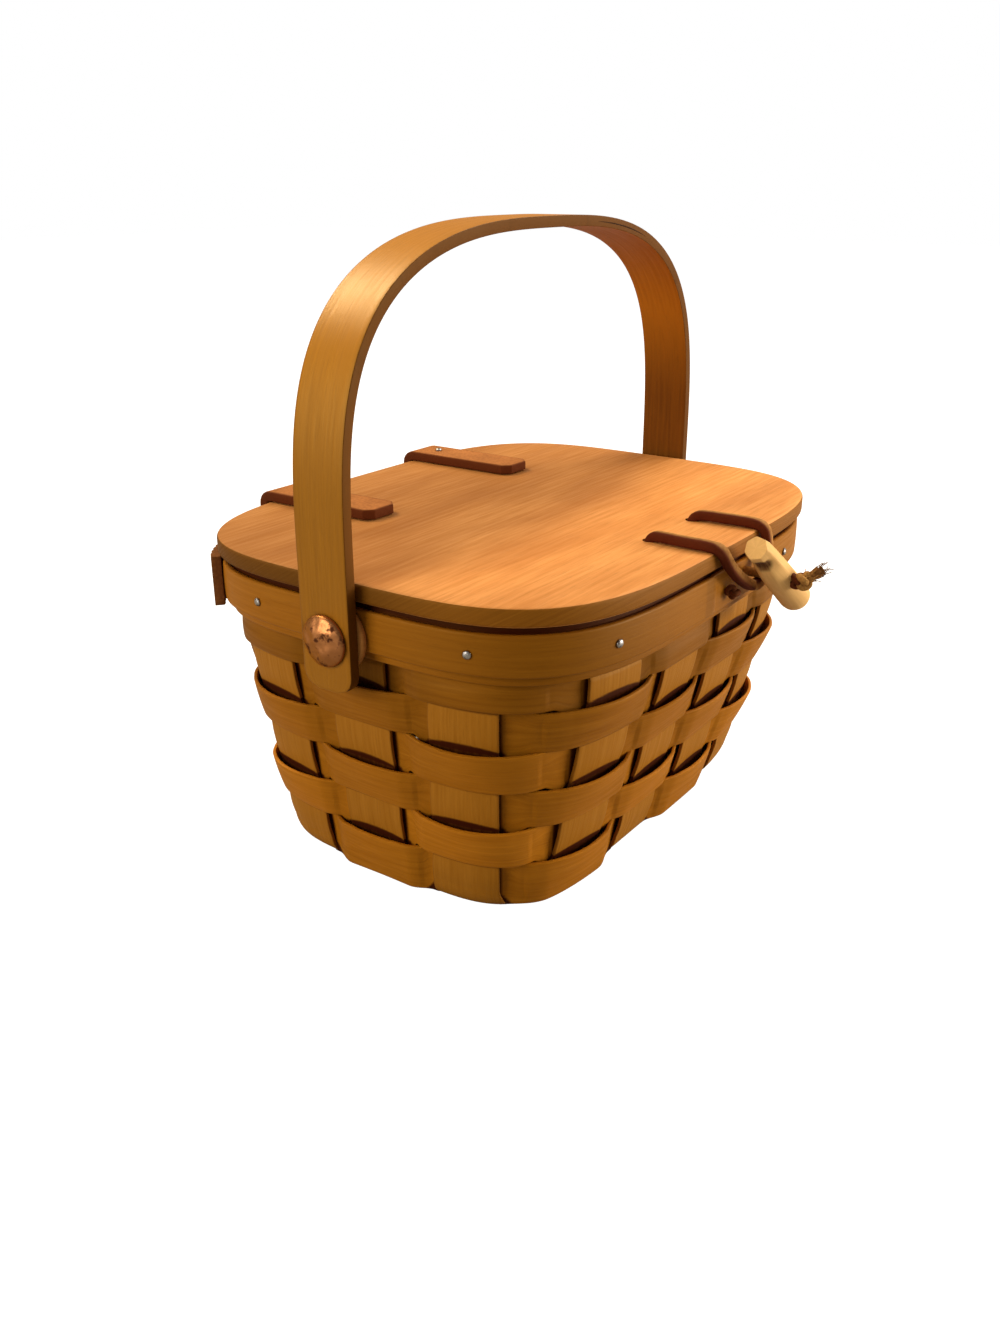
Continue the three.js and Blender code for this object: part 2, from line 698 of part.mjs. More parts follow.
function tackGeometry(length) {
  return turned([
    [0, -length],
    [TACK_SHANK_RADIUS, -length],
    [TACK_SHANK_RADIUS, 0],
    [TACK_HEAD_RADIUS, 0],
    [TACK_HEAD_RADIUS * 0.75, TACK_HEAD_HEIGHT * 0.7],
    [0, TACK_HEAD_HEIGHT],
  ], 8);
}

function rivetGeometry(length) {
  return turned([
    [0, -length],
    [RIVET_SHANK_RADIUS, -length],
    [RIVET_SHANK_RADIUS, 0],
    [RIVET_HEAD_RADIUS, 0],
    [RIVET_HEAD_RADIUS, RIVET_HEAD_HEIGHT * 0.3],
    [RIVET_HEAD_RADIUS * 0.8, RIVET_HEAD_HEIGHT * 0.75],
    [RIVET_HEAD_RADIUS * 0.4, RIVET_HEAD_HEIGHT * 0.96],
    [0, RIVET_HEAD_HEIGHT],
  ], 16);
}

function washerGeometry(radius, thickness) {
  const bore = [[rivetHole, thickness], [rivetHole, 0]];
  return turned([bore[1], [radius, 0], [radius, thickness], ...bore], 20);
}

// Closure

function laceGeometry() {
  const ends = [LACE_ROUTE[0], LACE_ROUTE[LACE_ROUTE.length - 1]];
  const knots = ends.map((end) => knot(end, LACE_KNOT_RADIUS));
  return join([cord(LACE_ROUTE, LACE_RADIUS, LACE_STEPS), ...knots]);
}

function thongGeometry() {
  const outerKnot = THONG_ROUTE[THONG_ROUTE.length - 3];
  return join([
    cord(THONG_ROUTE, THONG_RADIUS, THONG_STEPS),
    knot(THONG_ROUTE[0], THONG_KNOT_RADIUS),
    knot(outerKnot, THONG_KNOT_RADIUS),
  ]);
}

// The peg tapers up to a cut end and is round at its foot
function pegGeometry() {
  const axis = pegTop.clone().sub(pegFoot);
  const length = axis.length();
  const foot = [-1, -0.92, -0.7, -0.38].map((share) => [
    PEG_FOOT_RADIUS * Math.sqrt(1 - share ** 2),
    PEG_FOOT_RADIUS * share,
  ]);
  const profile = [
    ...foot,
    [PEG_FOOT_RADIUS, 0],
    [PEG_FOOT_RADIUS * 0.97, length * 0.3],
    [PEG_TOP_RADIUS, length * 0.92],
    [PEG_TOP_RADIUS * 0.8, length],
    [0, length],
  ];
  const body = turned(profile, 14).applyQuaternion(turnTo(axis));
  body.translate(pegFoot.x, pegFoot.y, pegFoot.z);
  const hole = drill(pegHole, ALONG_Y, THONG_RADIUS + THONG_HOLE_CLEARANCE, 6 * PEG_FOOT_RADIUS, 12);
  return cut(body, [hole]);
}

// The assembly

const basket = new THREE.Group();

const FINISHES = {
  upright: { color: 0xb27633, roughness: 0.62, metalness: 0 },
  weaver: { color: 0xa4661f, roughness: 0.55, metalness: 0 },
  band: { color: 0x9c5e1c, roughness: 0.55, metalness: 0 },
  handle: { color: 0x9a6216, roughness: 0.45, metalness: 0 },
  lid: { color: 0xd89a5a, roughness: 0.5, metalness: 0 },
  leather: { color: 0x7a3f1c, roughness: 0.75, metalness: 0 },
  lace: { color: 0x5a2414, roughness: 0.7, metalness: 0 },
  peg: { color: 0xc4915a, roughness: 0.6, metalness: 0 },
  copper: { color: 0xb4683c, roughness: 0.35, metalness: 1 },
  nickel: { color: 0xb8b2a8, roughness: 0.3, metalness: 1 },
};

function addPiece(name, geometry, finish, position = new THREE.Vector3(), facing = UP) {
  const mesh = new THREE.Mesh(geometry, new THREE.MeshStandardMaterial(FINISHES[finish]));
  mesh.name = name;
  mesh.position.copy(position);
  mesh.quaternion.copy(turnTo(facing));
  basket.add(mesh);
}

function addTack(name, place, seat, length) {
  const head = place.point.clone().addScaledVector(place.normal, seat + CLEARANCE);
  addPiece(name, tackGeometry(length), 'nickel', head, place.normal);
}

// Woven body: each X splint passes over every second Y splint, and the other way round
xSplints.forEach((splint, i) => {
  const crossings = ySplints.map((other, j) => ({ place: other.base, over: (i + j) % 2 === 1 }));
  const geometry = splintGeometry(splint, crossings);
  const name = `splint_x_${i + 1}`;
  addPiece(name, splint.rim === 0 ? cut(geometry, [rivetDrill]) : geometry, 'upright');
});
ySplints.forEach((splint, j) => {
  const crossings = xSplints.map((other, i) => ({ place: other.base, over: (i + j) % 2 === 0 }));
  const geometry = splintGeometry(splint, crossings);
  const onThong = Math.abs(splint.rim - thongExit.x) < SPLINT_WIDTH / 2;
  addPiece(`splint_y_${j + 1}`, onThong ? cut(geometry, [thongDrill]) : geometry, 'upright');
});

addPiece(`weaver_row_${WIDE_ROWS}`, weaverGeometry(WIDE_ROWS, FIRST_WEAVER_BOTTOM, firstTop), 'weaver');
for (let row = WIDE_ROWS - 1; row >= 0; row -= 1) {
  const bottom = firstTop + WEAVER_GAP + (WIDE_ROWS - 1 - row) * weaverPitch;
  const geometry = weaverGeometry(row, bottom, bottom + WEAVER_WIDTH);
  const reachesRim = bottom + WEAVER_WIDTH > bandBottom;
  const rowGeometry = reachesRim ? cut(geometry, [rivetDrill]) : geometry;
  addPiece(`weaver_row_${row}`, rowGeometry, 'weaver');
}

// Rim
const innerBand = bandGeometry(-bandOuter, -bandInner, bandBottom, wallTop);
const outerBand = bandGeometry(bandInner, bandOuter, bandBottom, wallTop);
const trimBand = bandGeometry(trimInner, trimOuter, trimBottom, trimTop);
addPiece('inner_band', cut(innerBand, [rivetDrill, thongDrill]), 'band');
addPiece('outer_band', cut(outerBand, [rivetDrill, thongDrill, ...tackDrills]), 'band');
addPiece('trim_band', cut(trimBand, [rivetDrill, thongDrill, ...tackDrills]), 'band');
const rimTackLength = CLEARANCE + trimOuter - bandInner;
rimTacks.forEach((place, i) => addTack(`rim_tack_${i + 1}`, place, trimOuter, rimTackLength));
addPiece('corner_tab', tabGeometry(), 'leather');
const tabSeat = trimOuter + CLEARANCE + TAB_THICKNESS;
addTack('corner_tab_tack', tabTack, tabSeat, rimTackLength + CLEARANCE + TAB_THICKNESS);

// Handle and its rivets
addPiece('handle', handleGeometry(), 'handle');
for (const { name, sign } of sides) {
  const outward = new THREE.Vector3(sign, 0, 0);
  const at = (x) => new THREE.Vector3(sign * x, 0, pivotHeight);
  const shank = rivetSeat - burrSeat + BURR_THICKNESS + RIVET_TAIL;
  const spacer = washerGeometry(SPACER_RADIUS, SPACER_THICKNESS);
  addPiece(`spacer_${name}`, spacer, 'band', at(spacerInner), outward);
  addPiece(`rivet_${name}`, rivetGeometry(shank), 'copper', at(rivetSeat), outward);
  const burr = washerGeometry(BURR_RADIUS, BURR_THICKNESS);
  addPiece(`rivet_burr_${name}`, burr, 'copper', at(burrSeat - BURR_THICKNESS), outward);
}

// Lid, hinges and closure
const lidBack = outlineReach(rimOutline, 'y', STRAP_CENTRE - STRAP_WIDTH / 2) + lidOffset;
const lidTacks = sides.map(({ sign }) => ({
  point: new THREE.Vector3(sign * STRAP_CENTRE, lidBack - STRAP_TACK_INSET, lidTop),
  normal: UP,
}));
const lidTackDrills = lidTacks.map(
  ({ point }) => drill(point, UP, tackHole, 2 * (STRAP_TACK_DEPTH + CLEARANCE), 8),
);
const laceDrills = [LACE_ROUTE[0], LACE_ROUTE[LACE_ROUTE.length - 1]].map((end) => drill(
  new THREE.Vector3(end.x, end.y, lidBottom), UP, LACE_RADIUS + LACE_HOLE_CLEARANCE, 4 * LID_THICKNESS, 12,
));
addPiece('lid', lidGeometry([...lidTackDrills, ...laceDrills]), 'lid');
sides.forEach(({ name, sign }, i) => {
  const { point, normal } = strapTacks[i];
  const rimFace = point.clone().addScaledVector(normal, trimOuter);
  const rimHole = drill(rimFace, normal, tackHole, 4 * STRAP_THICKNESS, 8);
  const lidHole = drill(lidTacks[i].point, UP, tackHole, 4 * STRAP_THICKNESS, 8);
  addPiece(`hinge_strap_${name}`, strapGeometry(sign, [rimHole, lidHole]), 'leather');
  const strapSeat = CLEARANCE + STRAP_THICKNESS;
  addTack(`strap_tack_lid_${name}`, lidTacks[i], strapSeat, strapSeat + CLEARANCE + STRAP_TACK_DEPTH);
  const seat = lidBack - lidOffset - point.y + trimOuter + strapSeat;
  addTack(`strap_tack_rim_${name}`, strapTacks[i], seat, seat + CLEARANCE - bandInner);
});
addPiece('closure_loop', laceGeometry(), 'lace');
addPiece('toggle', pegGeometry(), 'peg');
addPiece('toggle_thong', thongGeometry(), 'lace');

export default basket;
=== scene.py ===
"""The looks of a woven splint basket purse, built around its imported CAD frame.

Sizes are in millimetres and become metres as each mesh is laid. The closure faces -Y, the hinges
+Y, and the handle's rivets lie along X.
"""

import logging
import math
from dataclasses import dataclass, field
from enum import Enum
from functools import lru_cache
from typing import Iterable, Sequence

import bpy
import numpy as np
from mathutils import Matrix, Vector


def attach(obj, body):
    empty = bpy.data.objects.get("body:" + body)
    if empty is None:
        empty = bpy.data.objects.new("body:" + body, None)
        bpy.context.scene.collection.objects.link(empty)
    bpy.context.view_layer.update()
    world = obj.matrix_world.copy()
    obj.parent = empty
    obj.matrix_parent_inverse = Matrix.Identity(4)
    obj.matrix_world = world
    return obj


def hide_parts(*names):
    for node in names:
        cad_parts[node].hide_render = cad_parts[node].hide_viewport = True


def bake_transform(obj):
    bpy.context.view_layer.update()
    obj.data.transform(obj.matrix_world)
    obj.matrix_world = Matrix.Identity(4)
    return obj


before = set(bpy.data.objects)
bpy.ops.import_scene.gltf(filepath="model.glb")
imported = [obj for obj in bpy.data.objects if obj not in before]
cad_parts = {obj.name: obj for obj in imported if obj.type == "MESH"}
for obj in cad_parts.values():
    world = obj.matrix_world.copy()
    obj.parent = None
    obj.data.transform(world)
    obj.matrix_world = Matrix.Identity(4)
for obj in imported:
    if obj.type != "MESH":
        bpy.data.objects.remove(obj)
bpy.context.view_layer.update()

LOG = logging.getLogger("basket_purse")
MM = 0.001

# The two UV maps of every piece: millimetres along and across the grain, and darkening with tone; the
# darkening holds stain and painted shade, and in places the tone holds painted light
STRIP_MAP = "strip"
WEAR_MAP = "wear"

# The room left between pieces that touch on the real purse
CLEARANCE = 0.3

# The tint of oiled wood's shine
WARM_GLOSS = (1.0, 0.64, 0.16, 1.0)

# The noises of the grain: their stretch, detail and roughness, and the range that is used
GRAIN = {
    "Streaks": ((0.03, 0.85, 1.0), 6.0, 0.62, 0.3, 0.7),
    "Pores": ((0.11, 3.6, 1.0), 3.0, 0.6, 0.56, 0.74),
    "Drift": ((0.013, 0.06, 1.0), 3.0, 0.5, 0.32, 0.68),
}

Colour = tuple[float, float, float]
Point = tuple[float, float, float]
Node = bpy.types.Node
Piece = bpy.types.Object
Socket = bpy.types.NodeSocket


class Run(Enum):
    """The axis that a splint runs along."""

    X = 0
    Y = 1


class Side(Enum):
    """The two ends of the basket."""

    LEFT = -1
    RIGHT = 1

    @property
    def label(self) -> str:
        """The side's name as it stands in node names."""
        return self.name.lower()


def smooth(share: np.ndarray | float) -> np.ndarray | float:
    """Eases a share from 0 to 1 with level ends."""
    t = np.clip(share, 0.0, 1.0)
    return t * t * (3.0 - 2.0 * t)


def bell(distance: np.ndarray | float, width: float) -> np.ndarray | float:
    """A soft bump that is 1 at no distance and fades over a width."""
    return np.exp(-((np.asarray(distance) / width) ** 2))


def chaikin(points: np.ndarray, rounds: int) -> np.ndarray:
    """Rounds the corners of an open line.

    Args:
        points: The line's corners, one a row.
        rounds: How many times each corner is cut.

    Returns:
        The rounded line, with the same ends.
    """
    for _ in range(rounds):
        before, after = points[:-1], points[1:]
        cut = np.stack([0.75 * before + 0.25 * after, 0.25 * before + 0.75 * after], 1)
        points = np.concatenate([points[:1], cut.reshape(-1, points.shape[1]), points[-1:]])
    return points


def even(points: np.ndarray, step: float) -> np.ndarray:
    """Spaces the points of a line evenly.

    Args:
        points: The line's points, one a row.
        step: About how far apart the new points are.

    Returns:
        The new points, with the same ends.
    """
    lengths = run_lengths(points)
    count = max(2, int(round(lengths[-1] / step)) + 1)
    places = np.linspace(0.0, lengths[-1], count)
    return np.stack([np.interp(places, lengths, points[:, k]) for k in range(points.shape[1])], 1)


def run_lengths(points: np.ndarray) -> np.ndarray:
    """The length along a line at each of its points."""
    return np.concatenate([[0.0], np.cumsum(np.linalg.norm(np.diff(points, axis=0), axis=1))])


def pairs(along: np.ndarray, across: np.ndarray) -> np.ndarray:
    """Every place along a strip with every place across it, one row for each place across."""
    return np.stack(np.broadcast_arrays(along[None], across[:, None]), -1)


def stained(wear: np.ndarray) -> np.ndarray:
    """Darkening values alone, from stain and painted shade: their tone is left as it is."""
    return np.stack([wear, 0.0 * wear], -1)


def lifted(flat: np.ndarray, height: np.ndarray | float) -> np.ndarray:
    """Points of the floor plan at a height."""
    return np.column_stack([flat, np.broadcast_to(height, len(flat))])


def circle(radius: float, count: int) -> np.ndarray:
    """The corners of a round section, anticlockwise."""
    angles = np.arange(count) * 2.0 * math.pi / count
    return np.column_stack([np.cos(angles), np.sin(angles)]) * radius


def dome(radius: float, rise: float, height: float, count: int) -> list[tuple[float, float]]:
    """The profile of a domed head.

    Args:
        radius: The head's radius.
        rise: How high its upright edge is.
        height: Its whole height.
        count: The corners from the edge to the top.

    Returns:
        Radius and height of each corner, the lowest first.
    """
    angles = np.linspace(0.0, math.pi / 2, count)[:-1]
    return [(radius * math.cos(a), rise + (height - rise) * math.sin(a)) for a in angles] + [(0.0, height)]


class Bench:
    """The workbench: grids laid out as sheets, tubes and turned pieces, and the finishing tools."""

    @staticmethod
    def clear() -> None:
        """Leaves nothing selected."""
        bpy.ops.object.select_all(action="DESELECT")

    @staticmethod
    def pick(piece: Piece) -> None:
        """Makes one piece the only one that is selected.

        Args:
            piece: The piece.
        """
        Bench.clear()
        piece.select_set(True)
        bpy.context.view_layer.objects.active = piece

    @staticmethod
    def chart(mesh: bpy.types.Mesh, name: str, values: np.ndarray) -> None:
        """Gives a mesh a UV map with one value pair for each vertex.

        Args:
            mesh: The mesh to map.
            name: The map's name.
            values: One pair a vertex.
        """
        corners = np.empty(len(mesh.loops), np.int32)
        mesh.loops.foreach_get("vertex_index", corners)
        layer = mesh.uv_layers.get(name) or mesh.uv_layers.new(name=name)
        layer.data.foreach_set("uv", values.reshape(-1, 2)[corners].astype(np.float32).ravel())

    @staticmethod
    def lay(
        name: str,
        points: np.ndarray,
        strip: np.ndarray | None = None,
        wear: np.ndarray | None = None,
        merge: bool = False,
    ) -> Piece:
        """Adds a grid and lays it on a surface.

        Args:
            name: The new piece's name.
            points: The surface's points in rows; the way along a row, crossed with the way to the next
                row, points outwards.
            strip: Millimetres along and across the grain at each point.
            wear: Two values at each point: darkening, from stain and painted shade, and tone, which in places
                is painted light.
            merge: Whether points that meet are joined.

        Returns:
            The new piece.
        """
        rows, columns = points.shape[:2]
        Bench.clear()
        bpy.ops.mesh.primitive_grid_add(x_subdivisions=columns - 1, y_subdivisions=rows - 1, size=1)
        piece = bpy.context.object
        piece.name = name
        mesh = piece.data
        mesh.name = name
        mesh.vertices.foreach_set("co", (points.reshape(-1, 3) * MM).astype(np.float32).ravel())
        mesh.uv_layers[0].name = STRIP_MAP
        Bench.chart(mesh, STRIP_MAP, points[..., :2] if strip is None else strip)
        Bench.chart(mesh, WEAR_MAP, np.zeros((rows, columns, 2)) if wear is None else wear)
        if merge:
            Bench.merge(piece)
        mesh.update()
        return piece

    @staticmethod
    def merge(piece: Piece) -> None:
        """Joins the points of a piece that meet.

        Args:
            piece: The piece.
        """
        Bench.pick(piece)
        bpy.ops.object.mode_set(mode="EDIT")
        bpy.ops.mesh.select_all(action="SELECT")
        bpy.ops.mesh.remove_doubles(threshold=1e-6)
        bpy.ops.object.mode_set(mode="OBJECT")

    @staticmethod
    def modify(piece: Piece, kind: str, **settings: object) -> None:
        """Adds a modifier to a piece and applies it.

        Args:
            piece: The piece to change.
            kind: The modifier's type.
            **settings: The modifier's settings.
        """
        modifier = piece.modifiers.new(kind, kind)
        for key, value in settings.items():
            setattr(modifier, key, value)
        Bench.pick(piece)
        bpy.ops.object.modifier_apply(modifier=modifier.name)

    @staticmethod
    def soften(piece: Piece, degrees: float = 40.0) -> Piece:
        """Shades a piece smooth except at its sharp edges.

        Args:
            piece: The piece.
            degrees: The angle from which an edge is sharp.

        Returns:
            The same piece.
        """
        Bench.pick(piece)
        bpy.ops.object.shade_smooth_by_angle(angle=math.radians(degrees))
        return piece

    @staticmethod
    def thicken(piece: Piece, thickness: float, edge: float, segments: int = 2) -> Piece:
        """Gives a sheet its thickness, evenly to both sides, and rounds its edges.

        Args:
            piece: The sheet.
            thickness: Its thickness.
            edge: How wide the rounding is.
            segments: The facets across the rounding.

        Returns:
            The same piece.
        """
        Bench.modify(piece, "SOLIDIFY", thickness=thickness * MM, offset=0.0, use_even_offset=True)
        Bench.modify(
            piece, "BEVEL", width=edge * MM, segments=segments,
            limit_method="ANGLE", angle_limit=math.radians(50),
        )
        return Bench.soften(piece)

    @staticmethod
    def turn(
        name: str, profile: Sequence[tuple[float, float]], segments: int, place: Matrix | None = None
    ) -> Piece:
        """Turns a profile about +Z.

        Args:
            name: The new piece's name.
            profile: Radius and height of each corner, from the lowest to the highest.
            segments: The facets around.
            place: Where the turned piece goes, in millimetres.

        Returns:
            The new piece.
        """
        angles = np.linspace(0.0, 2.0 * math.pi, segments + 1)
        shape = np.array(profile)
        radius, height = shape[:, :1], shape[:, 1:]
        points = np.stack([radius * np.cos(angles), radius * np.sin(angles), height + 0.0 * angles], -1)
        along = run_lengths(shape)[:, None] + 0.0 * angles
        strip = np.stack([along, angles * shape[:, 0].max() + 0.0 * along], -1)
        piece = Bench.lay(name, points, strip, merge=True)
        if place is not None:
            Bench.move(piece, place)
        return piece

    @staticmethod
    def move(piece: Piece, place: Matrix) -> None:
        """Moves a piece's mesh by a matrix in millimetres, and leaves its object at the origin.

        Args:
            piece: The piece.
            place: The matrix.
        """
        metres = place.copy()
        metres.translation = metres.translation * MM
        piece.data.transform(metres)

    @staticmethod
    def sweep(
        name: str,
        route: np.ndarray,
        sides: np.ndarray,
        section: np.ndarray,
        scale: np.ndarray | None = None,
        wear: np.ndarray | None = None,
    ) -> Piece:
        """Sweeps a section along a route, with closed ends.

        Args:
            name: The new piece's name.
            route: The route's points.
            sides: The direction of the section's first axis at each point.
            section: The section's corners, anticlockwise, one a row.
            scale: How large the section is at each point.
            wear: How dark each point of the route is at each corner of the section, from wear and painted
                shade.

        Returns:
            The new piece.
        """
        tangents = np.gradient(route, axis=0)
        tangents /= np.linalg.norm(tangents, axis=1, keepdims=True)
        first = sides - np.sum(sides * tangents, 1, keepdims=True) * tangents
        first /= np.linalg.norm(first, axis=1, keepdims=True)
        second = np.cross(tangents, first)
        size = np.ones(len(route)) if scale is None else scale
        ring = np.concatenate([section, section[:1]])
        rings = (
            route[:, None]
            + ring[None, :, :1] * first[:, None] * size[:, None, None]
            + ring[None, :, 1:] * second[:, None] * size[:, None, None]
        )
        ends = [np.repeat(route[k][None, None], len(ring), 1) for k in (0, -1)]
        points = np.concatenate([ends[0], rings, ends[1]])
        along = run_lengths(np.concatenate([route[:1], route, route[-1:]]))
        around = run_lengths(ring)
        strip = np.stack(np.broadcast_arrays(along[:, None], around[None]), -1)
        worn = None
        if wear is not None:
            closed = np.concatenate([wear, wear[:, :1]], 1)
            closed = np.concatenate([closed[:1], closed, closed[-1:]])
            worn = stained(closed)
        return Bench.soften(Bench.lay(name, points, strip, worn, merge=True), 50)

    @staticmethod
    def drill(piece: Piece, radius: float, depth: float, segments: int, place: Matrix) -> None:
        """Drills a round hole.

        Args:
            piece: The piece to drill.
            radius: The hole's radius.
            depth: How far it goes to both sides of its place.
            segments: The facets around.
            place: Its middle and direction, in millimetres.
        """
        profile = [(0.0, -depth), (radius, -depth), (radius, depth), (0.0, depth)]
        bit = Bench.turn("bore", profile, segments, place)
        Bench.modify(piece, "BOOLEAN", operation="DIFFERENCE", solver="EXACT", object=bit)
        bpy.data.objects.remove(bit)


def facing(point: Sequence[float], normal: Sequence[float]) -> Matrix:
    """A place whose +Z looks along a normal.

    Args:
        point: Where it is, in millimetres.
        normal: What it looks along.

    Returns:
        The place.
    """
    turned = Vector((0, 0, 1)).rotation_difference(Vector(normal)).to_matrix().to_4x4()
    turned.translation = Vector(point)
    return turned


def dress(piece: Piece, finish: "Finish", slot: str, body: str | None, *nodes: str) -> Piece:
    """Gives a piece its finish, its body and the CAD nodes that it stands for.

    Args:
        piece: The piece.
        finish: Its finish.
        slot: Not used.
        body: The body that it rides on; None for a piece that spans two, which leaves it attached to neither.
        *nodes: The CAD nodes that it replaces.

    Returns:
        The same piece.
    """
    piece.data.materials.clear()
    piece.data.materials.append(finish.material())
    if body is not None:
        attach(piece, body)
    if nodes:
        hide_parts(*nodes)
    LOG.info("%s: %d faces", piece.name, len(piece.data.polygons))
    return piece


class Tree:
    """A short hand for adding nodes to a shader tree and joining them."""

    def __init__(self, tree: bpy.types.NodeTree) -> None:
        """Starts on a tree."""
        self.tree = tree

    def add(self, kind: str, inputs: dict | None = None, **settings: object) -> Node:
        """Adds a node.

        Args:
            kind: The node's type.
            inputs: Values, or sockets to link, by the name or number of each input.
            **settings: The node's own settings.

        Returns:
            The node.
        """
        node = self.tree.nodes.new(kind)
        for key, value in settings.items():
            setattr(node, key, value)
        for key, value in (inputs or {}).items():
            if isinstance(value, Socket):
                self.tree.links.new(value, node.inputs[key])
            else:
                node.inputs[key].default_value = value
        return node

    def noise(self, vector: Socket, scale: Point, detail: float, rough: float) -> Socket:
        """A noise value on a vector that is stretched first.

        Args:
            vector: The vector.
            scale: How much it is stretched along each axis.
            detail: The noise's detail.
            rough: The noise's roughness.

        Returns:
            The value, from 0 to 1.
        """
        mapped = self.add("ShaderNodeMapping", {"Vector": vector, "Scale": scale})
        inputs = {"Vector": mapped.outputs[0], "Scale": 1.0, "Detail": detail, "Roughness": rough}
        return self.add("ShaderNodeTexNoise", inputs).outputs[0]

    def fit(
        self, value: Socket, low: float, high: float, to_low: float = 0.0, to_high: float = 1.0
    ) -> Socket:
        """A value fitted from one range to another and held there."""
        inputs = {0: value, 1: low, 2: high, 3: to_low, 4: to_high}
        return self.add("ShaderNodeMapRange", inputs).outputs[0]

    def math(self, operation: str, *values: object) -> Socket:
        """A sum on two or three values."""
        return self.add("ShaderNodeMath", dict(enumerate(values)), operation=operation).outputs[0]

    def mix(self, factor: object, first: object, second: object, blend: str = "MIX") -> Socket:
        """A mix of two colours.

        Args:
            factor: The share of the second.
            first: The first colour.
            second: The second colour.
            blend: How they are mixed.

        Returns:
            The mixed colour.
        """
        inputs = {0: factor}
        for socket, colour in ((6, first), (7, second)):
            inputs[socket] = colour if isinstance(colour, Socket) else (*colour, 1.0)
        node = self.add("ShaderNodeMix", inputs, data_type="RGBA", blend_type=blend)
        return node.outputs[2]


def new_group(name: str, inputs: dict[str, str], outputs: Iterable[str]) -> tuple:
    """Starts a shader node group.

    Args:
        name: The group's name.
        inputs: The socket type of each input by its name.
        outputs: The name of each output, which is a plain value.

    Returns:
        The group, a hand to build with, and its input and output nodes.
    """
    group = bpy.data.node_groups.new(name, "ShaderNodeTree")
    for label, kind in inputs.items():
        group.interface.new_socket(label, in_out="INPUT", socket_type=kind)
    for label in outputs:
        group.interface.new_socket(label, in_out="OUTPUT", socket_type="NodeSocketFloat")
    hand = Tree(group)
    return group, hand, hand.add("NodeGroupInput"), hand.add("NodeGroupOutput")


@lru_cache(maxsize=None)
def grain_group() -> bpy.types.NodeTree:
    """The grain of split wood: streaks, pores and a slow drift of tone along the strip.

    Returns:
        The node group.
    """
    group, hand, start, end = new_group("split_grain", {"Vector": "NodeSocketVector"}, GRAIN)
    for name, (scale, detail, rough, low, high) in GRAIN.items():
        noise = hand.noise(start.outputs[0], scale, detail, rough)
        group.links.new(hand.fit(noise, low, high), end.inputs[name])
    return group


@lru_cache(maxsize=None)
def stain_group() -> bpy.types.NodeTree:
    """Darkening where the wear map says, old stain and painted shade in the crevices, with a ragged edge
    along the grain.

    Returns:
        The node group.
    """
    inputs = {"Wear": "NodeSocketFloat", "Streaks": "NodeSocketFloat"}
    group, hand, start, end = new_group("crevice_stain", inputs, ["Mask"])
    ragged = hand.math("MULTIPLY_ADD", start.outputs["Streaks"], 0.14, -0.07)
    total = hand.math("ADD", start.outputs["Wear"], ragged)
    group.links.new(hand.fit(total, 0.25, 0.85), end.inputs["Mask"])
    return group


@dataclass(frozen=True)
class Finish:
    """What every finish has: a name, a roughness, how strong its bump is and how much it shines."""

    name: str
    roughness: float = 0.5
    bump: float = 0.2
    gloss: float = field(default=0.2, kw_only=True)

    def material(self) -> bpy.types.Material:
        """The finish as a material, made the first time it is asked for.

        Returns:
            The material.
        """
        found = bpy.data.materials.get(self.name)
        if found is not None:
            return found
        made = bpy.data.materials.new(self.name)
        made.use_nodes = True
        made.node_tree.nodes.clear()
        hand = Tree(made.node_tree)
        inputs = {"Roughness": self.roughness, "Specular IOR Level": self.gloss, "Specular Tint": WARM_GLOSS}
        shader = hand.add("ShaderNodeBsdfPrincipled", inputs)
        output = hand.add("ShaderNodeOutputMaterial")
        made.node_tree.links.new(shader.outputs[0], output.inputs["Surface"])
        self.paint(hand, shader)
        return made

    def paint(self, hand: Tree, shader: Node) -> None:
        """Feeds the shader; each kind of finish has its own way."""
        raise NotImplementedError

    def raise_by(self, hand: Tree, shader: Node, height: Socket, depth: float) -> None:
        """Joins a height to the shader's normal.

        Args:
            hand: The tree's hand.
            shader: The shader.
            height: The height, from 0 to 1.
            depth: How deep a height of 1 is, in millimetres.
        """
        inputs = {"Strength": self.bump, "Distance": depth * MM, "Height": height}
        bump = hand.add("ShaderNodeBump", inputs)
        hand.tree.links.new(bump.outputs[0], shader.inputs["Normal"])


